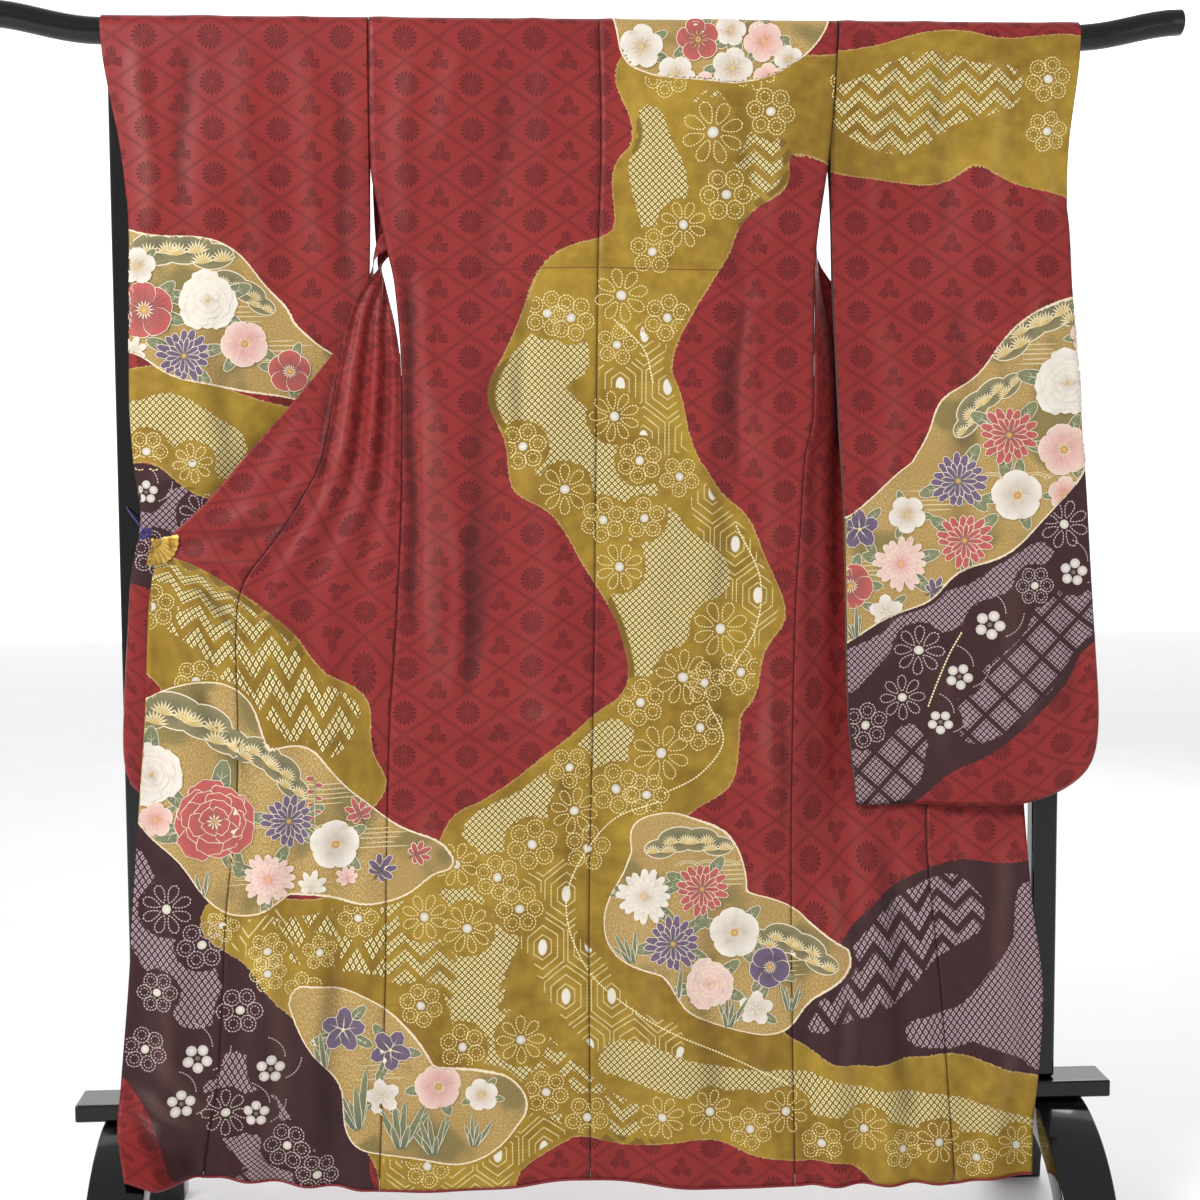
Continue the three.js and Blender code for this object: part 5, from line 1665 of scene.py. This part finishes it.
def make_figures(pieces, finish):
    body = [pieces[name] for name in ("body_left", "body_right", "overlap_left", "overlap_right")]
    left, right = [pieces["sleeve_left"]], [pieces["sleeve_right"]]
    plans = (
        ("back", body, 1, BODY_DYE, BODY_BLOOMS, BODY_TIED, BODY_CHAINS),
        ("left_sleeve", left, 1, SLEEVE_LEFT_DYE, SLEEVE_LEFT_BLOOMS, SLEEVE_LEFT_TIED, ()),
        ("right_sleeve", right, 1,
         SLEEVE_RIGHT_DYE, SLEEVE_RIGHT_BLOOMS, SLEEVE_RIGHT_TIED, SLEEVE_RIGHT_CHAINS),
    )
    # The sleeves' rear layers carry the same figures.
    plans += tuple((name + "_rear", cloths, -1, *rest) for name, cloths, _, *rest in plans[1:])
    for name, cloths, look, areas, blooms, tied, chains in plans:
        face = Face(cloths, look)
        sheaf = Sheaf()
        draw_blooms(sheaf, blooms)
        sheaf.split()
        sheaf.trim(areas, lambda ochre, brown, gold: gold > FLOWER_MARGIN)
        sheaf.lay(f"flowers_{name}", face, finish)
        sheaf = Sheaf()
        draw_tied(sheaf, tied, chains)
        sheaf.trim(areas, lambda ochre, brown, gold: max(ochre, brown) > DYE_MARGIN and gold < GOLD_MARGIN)
        sheaf.lay(f"tied_figures_{name}", face, finish)


# ---------------------------------------------------------------- stand and clip

def sweep(rings):
    """A closed skin over rings of equal count, each drawn out of the one before."""
    mesh = bmesh.new()
    turn = mesh.verts.layers.int.new("turn")
    made = bmesh.ops.create_circle(mesh, cap_ends=False, segments=len(rings[0]), radius=1)
    for k, vert in enumerate(made["verts"]):
        vert[turn] = k
        vert.co = rings[0][k] * MM
    edges = mesh.edges[:]
    for ring in rings[1:]:
        drawn = bmesh.ops.extrude_edge_only(mesh, edges=edges)["geom"]
        verts = {item for item in drawn if isinstance(item, bmesh.types.BMVert)}
        edges = [item for item in drawn if isinstance(item, bmesh.types.BMEdge) and set(item.verts) <= verts]
        for vert in verts:
            vert.co = ring[vert[turn]] * MM
    bmesh.ops.holes_fill(mesh, edges=[edge for edge in mesh.edges if edge.is_boundary], sides=0)
    bmesh.ops.recalc_face_normals(mesh, faces=mesh.faces[:])
    for face in mesh.faces:
        face.smooth = len(face.verts) == 4
    return mesh


def tube(line, radii, sides):
    """Rings square to a line of points, with a radius at each."""
    rings = []
    for k, point in enumerate(line):
        ahead = (line[min(k + 1, len(line) - 1)] - line[max(k - 1, 0)]).normalized()
        across = ahead.cross(Vector((0, 1, 0)))
        if across.length < 0.1:
            across = ahead.cross(Vector((0, 0, 1)))
        across.normalize()
        over = across.cross(ahead)
        rings.append([point + radii[k] * (across * math.cos(2 * math.pi * j / sides)
                                          + over * math.sin(2 * math.pi * j / sides)) for j in range(sides)])
    return sweep(rings)


def block(width, depth, height, middle, bevel, segments=3):
    mesh = bmesh.new()
    bmesh.ops.create_cube(mesh, size=1)
    bmesh.ops.scale(mesh, vec=Vector((width, depth, height)) * MM, verts=mesh.verts[:])
    bmesh.ops.bevel(mesh, geom=mesh.edges[:], offset=bevel * MM, segments=segments, profile=0.5,
                    affect="EDGES", material=-1)
    bmesh.ops.translate(mesh, vec=middle * MM, verts=mesh.verts[:])
    return mesh


def merge_in(target, other):
    """Adds one bmesh to another."""
    data = bpy.data.meshes.new("spare")
    other.to_mesh(data)
    other.free()
    target.from_mesh(data)
    bpy.data.meshes.remove(data)


def make_pole(lacquer):
    line, radii = [], []
    for k in range(97):
        s = -1 + k / 48
        lift = POLE_RISE * smooth(0.8, 1, abs(s)) ** 1.3
        line.append(Vector((POLE_HALF * s, 0, POLE_Z + lift)))
        radii.append(POLE_R)
    end = []
    for k in range(6, 0, -1):
        turn = math.pi / 2 * k / 6.4
        end.append((4 * math.sin(turn), POLE_R - 5 * (1 - math.cos(turn)) * 1.2))
    for out, radius in end[::-1]:
        line.append(line[96] + Vector((out, 0, 0)))
        radii.append(radius)
    for out, radius in end[::-1]:
        line.insert(0, Vector((-POLE_HALF - out, 0, POLE_Z + POLE_RISE)))
        radii.insert(0, radius)
    keep("pole", tube(line, radii, 48), "lacquer", (lacquer,), "stand_pole")


def make_posts(lacquer):
    bottom, top = BAR_TOP + SEAM, POLE_Z - POLE_R - SEAM
    for word, side in SIDES:
        middle = Vector((side * POST_X, 0, (bottom + top) / 2))
        post = block(POST_W, POST_D, top - bottom, middle, 5, 4)
        keep(f"post_{word}", post, "lacquer", (lacquer,), f"stand_post_{word}")


def make_bar(lacquer):
    bar = block(2 * BAR_HALF, BAR_D, BAR_T, Vector((0, 0, BAR_TOP - BAR_T / 2)), 3, 4)
    keep("bar", bar, "lacquer", (lacquer,), "stand_bar")


def make_feet(lacquer):
    top = BAR_TOP - BAR_T - SEAM
    steps = 56
    half = FOOT_W / 2
    for word, side in SIDES:
        rings = []
        for k in range(steps + 1):
            turn = math.pi * k / steps
            out_y, out_z = -FOOT_HALF * math.cos(turn), top * math.sin(turn)
            in_y = -(FOOT_HALF - FOOT_T) * math.cos(turn)
            in_z = (top - FOOT_T) * math.sin(turn)
            x = side * FOOT_X
            rings.append([Vector((x - half, out_y, out_z)), Vector((x + half, out_y, out_z)),
                          Vector((x + half, in_y, in_z)), Vector((x - half, in_y, in_z))])
        foot = sweep(rings)
        piece = keep(f"foot_{word}", foot, "lacquer", (lacquer,), f"stand_foot_{word}")
        round_edge = piece.modifiers.new("edges", "BEVEL")
        round_edge.width = 3 * MM
        round_edge.segments = 3
        round_edge.limit_method = "ANGLE"


FAN_PIVOT = Vector((-592, -45.5, 989))
FAN_RIBS = 9


def make_fan_clip(gold):
    start, end = math.radians(-106), math.radians(12)
    mesh = bmesh.new()
    bmesh.ops.create_grid(mesh, x_segments=FAN_RIBS * 2, y_segments=4, size=1)
    for vert in mesh.verts:
        angle = start + (end - start) * (vert.co.x + 1) / 2
        fold = round((vert.co.x + 1) * FAN_RIBS) % 2
        reach = 12 + (21 + 1.5 * fold) * (vert.co.y + 1) / 2
        lift = -1.1 + (0.55 - 1.1 * fold) * (0.4 + 0.6 * (vert.co.y + 1) / 2)
        vert.co = (FAN_PIVOT + Vector((reach * math.cos(angle), lift, reach * math.sin(angle)))) * MM
    bmesh.ops.solidify(mesh, geom=mesh.faces[:], thickness=0.5 * MM)
    for k in range(FAN_RIBS):
        angle = start + (end - start) * (k + 0.5) / FAN_RIBS
        rib = block(16, 0.8, 1.5, Vector((8.5, -1.3, 0)), 0.25, 1)
        bmesh.ops.rotate(rib, cent=Vector(), matrix=Matrix.Rotation(-angle, 3, "Y"), verts=rib.verts[:])
        bmesh.ops.translate(rib, vec=FAN_PIVOT * MM, verts=rib.verts[:])
        merge_in(mesh, rib)
    pin = bmesh.new()
    bmesh.ops.create_uvsphere(pin, u_segments=16, v_segments=10, radius=2.6 * MM)
    bmesh.ops.scale(pin, vec=Vector((1, 0.55, 1)), verts=pin.verts[:])
    bmesh.ops.translate(pin, vec=(FAN_PIVOT + Vector((0, -1.4, 0))) * MM, verts=pin.verts[:])
    merge_in(mesh, pin)
    bmesh.ops.recalc_face_normals(mesh, faces=mesh.faces[:])
    keep("fan_ornament", mesh, "gold", (gold,), "fan_clip")


def make_plain_clip(lacquer):
    middle = Vector((602, 11, 1006))
    mesh = block(9.4, 3, 34, middle + Vector((0, -2.4, 0)), 0.8)
    merge_in(mesh, block(9.4, 3, 34, middle + Vector((0, 2.4, 0)), 0.8))
    merge_in(mesh, block(9.4, 2.2, 7, middle + Vector((0, 0, 4)), 0.6))
    keep("plain_clip_jaws", mesh, "lacquer", (lacquer,), "plain_clip")


CORD_ROUTE = table(
    "x y z",
    (-594, -49.3, 993), (-602, -48, 1000), (-612, -40, 1011), (-623, -29, 1023), (-631, -16.6, 1032),
)


def make_cord(violet):
    steps = [station(CORD_ROUTE, k / 5) for k in range(5 * (len(CORD_ROUTE) - 1) + 1)]
    curve = bpy.data.curves.new("clip_cord_line", "CURVE")
    curve.dimensions = "3D"
    curve.bevel_depth = CORD_D / 2 * MM
    curve.bevel_resolution = 3
    curve.use_fill_caps = True
    line = curve.splines.new("POLY")
    line.points.add(len(steps) - 1)
    for point, q in zip(line.points, steps):
        point.co = (q["x"] * MM, q["y"] * MM, q["z"] * MM, 1)
    curve.materials.append(violet)
    piece = bpy.data.objects.new("clip_cord_line", curve)
    bpy.context.scene.collection.objects.link(piece)
    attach(piece, "root")
    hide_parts("clip_cord")
    first = CORD_ROUTE[0]
    first["x"] * MM
    first["y"] * MM
    first["z"] * MM


def make_knot(violet):
    """The cord's knot beside the fan: crossing turns and two short loops."""
    middle = Vector((-601, -49.5, 998))
    mesh = bmesh.new()
    for tilt, size in ((0.5, 4.6), (-0.7, 4.2), (1.5, 3.8)):
        line = []
        for k in range(25):
            turn = 2 * math.pi * k / 24
            p = Vector((size * math.cos(turn), 1.5 * math.sin(2 * turn), size * 1.25 * math.sin(turn)))
            line.append(middle + Matrix.Rotation(tilt, 3, "Y") @ p)
        merge_in(mesh, tube(line, [1.5] * len(line), 8))
    for tilt in (2.3, -0.4):
        line = []
        for k in range(17):
            turn = math.pi * k / 16
            p = Vector((9 * math.sin(turn), -1.0, 3.2 * math.cos(turn)))
            line.append(middle + Matrix.Rotation(tilt, 3, "Y") @ p)
        merge_in(mesh, tube(line, [1.1] * len(line), 8))
    keep("cord_knot", mesh, "cord", (violet,))


HEM_ROLL = 1.9
SEAM_ROLL = 1.5


BODY_END = BACK_ROWS + TOP_ROWS + FRONT_ROWS
TUCK_ROLL = 0.45


def run_along(place, start, share, count):
    """Points from start over a share of a run, place giving each."""
    return [place(start + share * k / count) for k in range(count + 1)]


def make_seams(lining_red):
    """Seam allowances rolled up behind the sewn edges, and the tuck's fine edge."""
    lines = {"seam_centre": run_along(lambda s: body_point(1, BACK_ROWS * s, 0), 0.01, 0.98, 60)}
    tuck_row = BACK_ROWS * (TUCK_Z - 3 - HEM_Z) / (POLE_Z - HEM_Z)
    for word, side in SIDES:
        rows = len(OVERLAP_LEFT if side < 0 else OVERLAP_RIGHT) - 1
        lines[f"seam_side_{word}"] = run_along(lambda s: body_point(side, BACK_ROWS * s, 1), 0.01, 0.7, 60)
        lines[f"seam_front_{word}"] = run_along(lambda s: body_point(side, BODY_END - rows * s, 0),
                                                0.01, 0.96, 60)
        edge = run_along(lambda t: body_point(side, tuck_row, t), 0.01, 0.98, 50)
        edge = [point - Vector((0, SILK / 2 + 0.15, 0)) for point in edge]
        keep(f"tuck_edge_{word}", tube(edge, [TUCK_ROLL] * len(edge), 6), "silk", (lining_red,))
    for name, line in lines.items():
        behind = [point + Vector((0, SEAM_ROLL + SILK / 2 + 0.1, 0)) for point in line]
        keep(name, tube(behind, [SEAM_ROLL] * len(behind), 6), "silk", (lining_red,))


def make_hems(lining_red):
    """The lining rolled out in a narrow cord along each hem."""
    for word, side in SIDES:
        overlap_end = len(OVERLAP_LEFT if side < 0 else OVERLAP_RIGHT) - 1
        runs = {
            f"hem_back_{word}": run_along(lambda t: body_point(side, 0, t), 0, 1, 40),
            f"hem_front_{word}": run_along(lambda t: body_point(side, BODY_END, t), 0, 1, 40),
            f"hem_overlap_{word}": run_along(lambda t: overlap_point(side, overlap_end, t), 0, 1, 24),
        }
        for name, line in runs.items():
            keep(name, tube(line, [HEM_ROLL] * len(line), 10), "silk", (lining_red,))


# ---------------------------------------------------------------- studio

EYE = Vector((-0.1488, -2.5982, 1.1069))
EYE_YAW = math.radians(3.374)
EYE_DROP = math.radians(4.557)
EYE_ROLL = math.radians(-0.301)
EYE_LENS = 57.07
SENSOR = 36


def make_camera():
    ahead = Vector((math.sin(EYE_YAW) * math.cos(EYE_DROP), math.cos(EYE_YAW) * math.cos(EYE_DROP),
                    -math.sin(EYE_DROP)))
    right = Vector((math.cos(EYE_YAW), -math.sin(EYE_YAW), 0))
    above = right.cross(ahead)
    turned = right * math.cos(EYE_ROLL) + above * math.sin(EYE_ROLL)
    upward = above * math.cos(EYE_ROLL) - right * math.sin(EYE_ROLL)
    lens = bpy.data.cameras.new("camera")
    lens.lens = EYE_LENS
    lens.sensor_width = SENSOR
    lens.sensor_fit = "HORIZONTAL"
    lens.clip_end = 60
    camera = bpy.data.objects.new("camera", lens)
    bpy.context.scene.collection.objects.link(camera)
    camera.matrix_world = Matrix.Translation(EYE) @ Matrix((turned, upward, -ahead)).transposed().to_4x4()
    bpy.context.scene.camera = camera


def soft_light(name, place, aim, size, power):
    light = bpy.data.lights.new(name, "AREA")
    light.shape = "RECTANGLE"
    light.size, light.size_y = size
    light.energy = power
    lamp = bpy.data.objects.new(name, light)
    bpy.context.scene.collection.objects.link(lamp)
    lamp.location = place
    lamp.rotation_euler = (Vector(aim) - Vector(place)).to_track_quat("-Z", "Y").to_euler()


FLOOR_HALF = 9
BACKDROP_HALF_WIDTH = 14
BACKDROP_HALF_HEIGHT = 8
BACKDROP_BEHIND = 8.5
BACKDROP_MIDDLE = 6


def plain_sheet(name, mesh, material):
    """A surface behind or below the garment."""
    data = bpy.data.meshes.new(name)
    mesh.to_mesh(data)
    mesh.free()
    data.materials.append(material)
    piece = bpy.data.objects.new(name, data)
    bpy.context.scene.collection.objects.link(piece)
    return piece


def make_floor():
    mesh = bmesh.new()
    bmesh.ops.create_grid(mesh, x_segments=8, y_segments=8, size=FLOOR_HALF)
    kit = Finish("pale_floor")
    grain = kit.noise(kit.place(), 3.0, 2.0)
    colour = kit.mix(grain, tone(236, 236, 236), tone(242, 242, 242))
    floor = plain_sheet("floor", mesh, kit.set(Base_Color=colour, Roughness=0.6))


def make_backdrop():
    mesh = bmesh.new()
    bmesh.ops.create_grid(mesh, x_segments=2, y_segments=2, size=1)
    for vert in mesh.verts:
        height = BACKDROP_MIDDLE + vert.co.y * BACKDROP_HALF_HEIGHT
        vert.co = Vector((vert.co.x * BACKDROP_HALF_WIDTH, BACKDROP_BEHIND, height))
    kit = Finish("white_backdrop")
    glow = {"Emission_Color": (1, 1, 1, 1), "Emission_Strength": 0.8}
    backdrop = plain_sheet("backdrop", mesh, kit.set(Base_Color=tone(240, 240, 240), **glow))


def make_studio():
    make_floor()
    make_backdrop()
    world = bpy.data.worlds.new("studio")
    world.use_nodes = True
    world.node_tree.nodes["Background"].inputs["Color"].default_value = (1, 1, 1, 1)
    world.node_tree.nodes["Background"].inputs["Strength"].default_value = 0.6
    bpy.context.scene.world = world
    bpy.context.scene.view_settings.view_transform = "Standard"
    soft_light("key", (-2.6, -2.8, 3.2), (0, 0, 1.1), (1.2, 1.2), 120)
    soft_light("fill", (2.6, -3.0, 1.6), (0, 0, 0.9), (1.2, 2.2), 8)
    soft_light("rear", (1.4, 3.2, 2.8), (0, 0, 1.0), (1.8, 1.8), 50)


# ---------------------------------------------------------------- build

make_camera()
violet_cord = cord_finish("violet_cord", tone(70, 52, 150), tone(28, 18, 70))
make_cord(violet_cord)
make_studio()
silk_cloth = silk_finish("dyed_silk")
red_lining = lining_finish("red_lining", tone(136, 24, 34), tone(104, 14, 24))
grey_lining = lining_finish("grey_lining", tone(92, 80, 72), tone(70, 60, 56))
painted = figure_finish("painted_figures")
black_lacquer = lacquer_finish("black_lacquer")
gilt = metal_finish("gilt", tone(226, 186, 96), tone(150, 108, 44), 0.24)

garment = make_garment(silk_cloth, red_lining, grey_lining)
make_figures(garment, painted)
make_seams(red_lining)
make_hems(red_lining)
make_pole(black_lacquer)
make_posts(black_lacquer)
make_bar(black_lacquer)
make_feet(black_lacquer)
make_fan_clip(gilt)
make_plain_clip(black_lacquer)
make_knot(violet_cord)
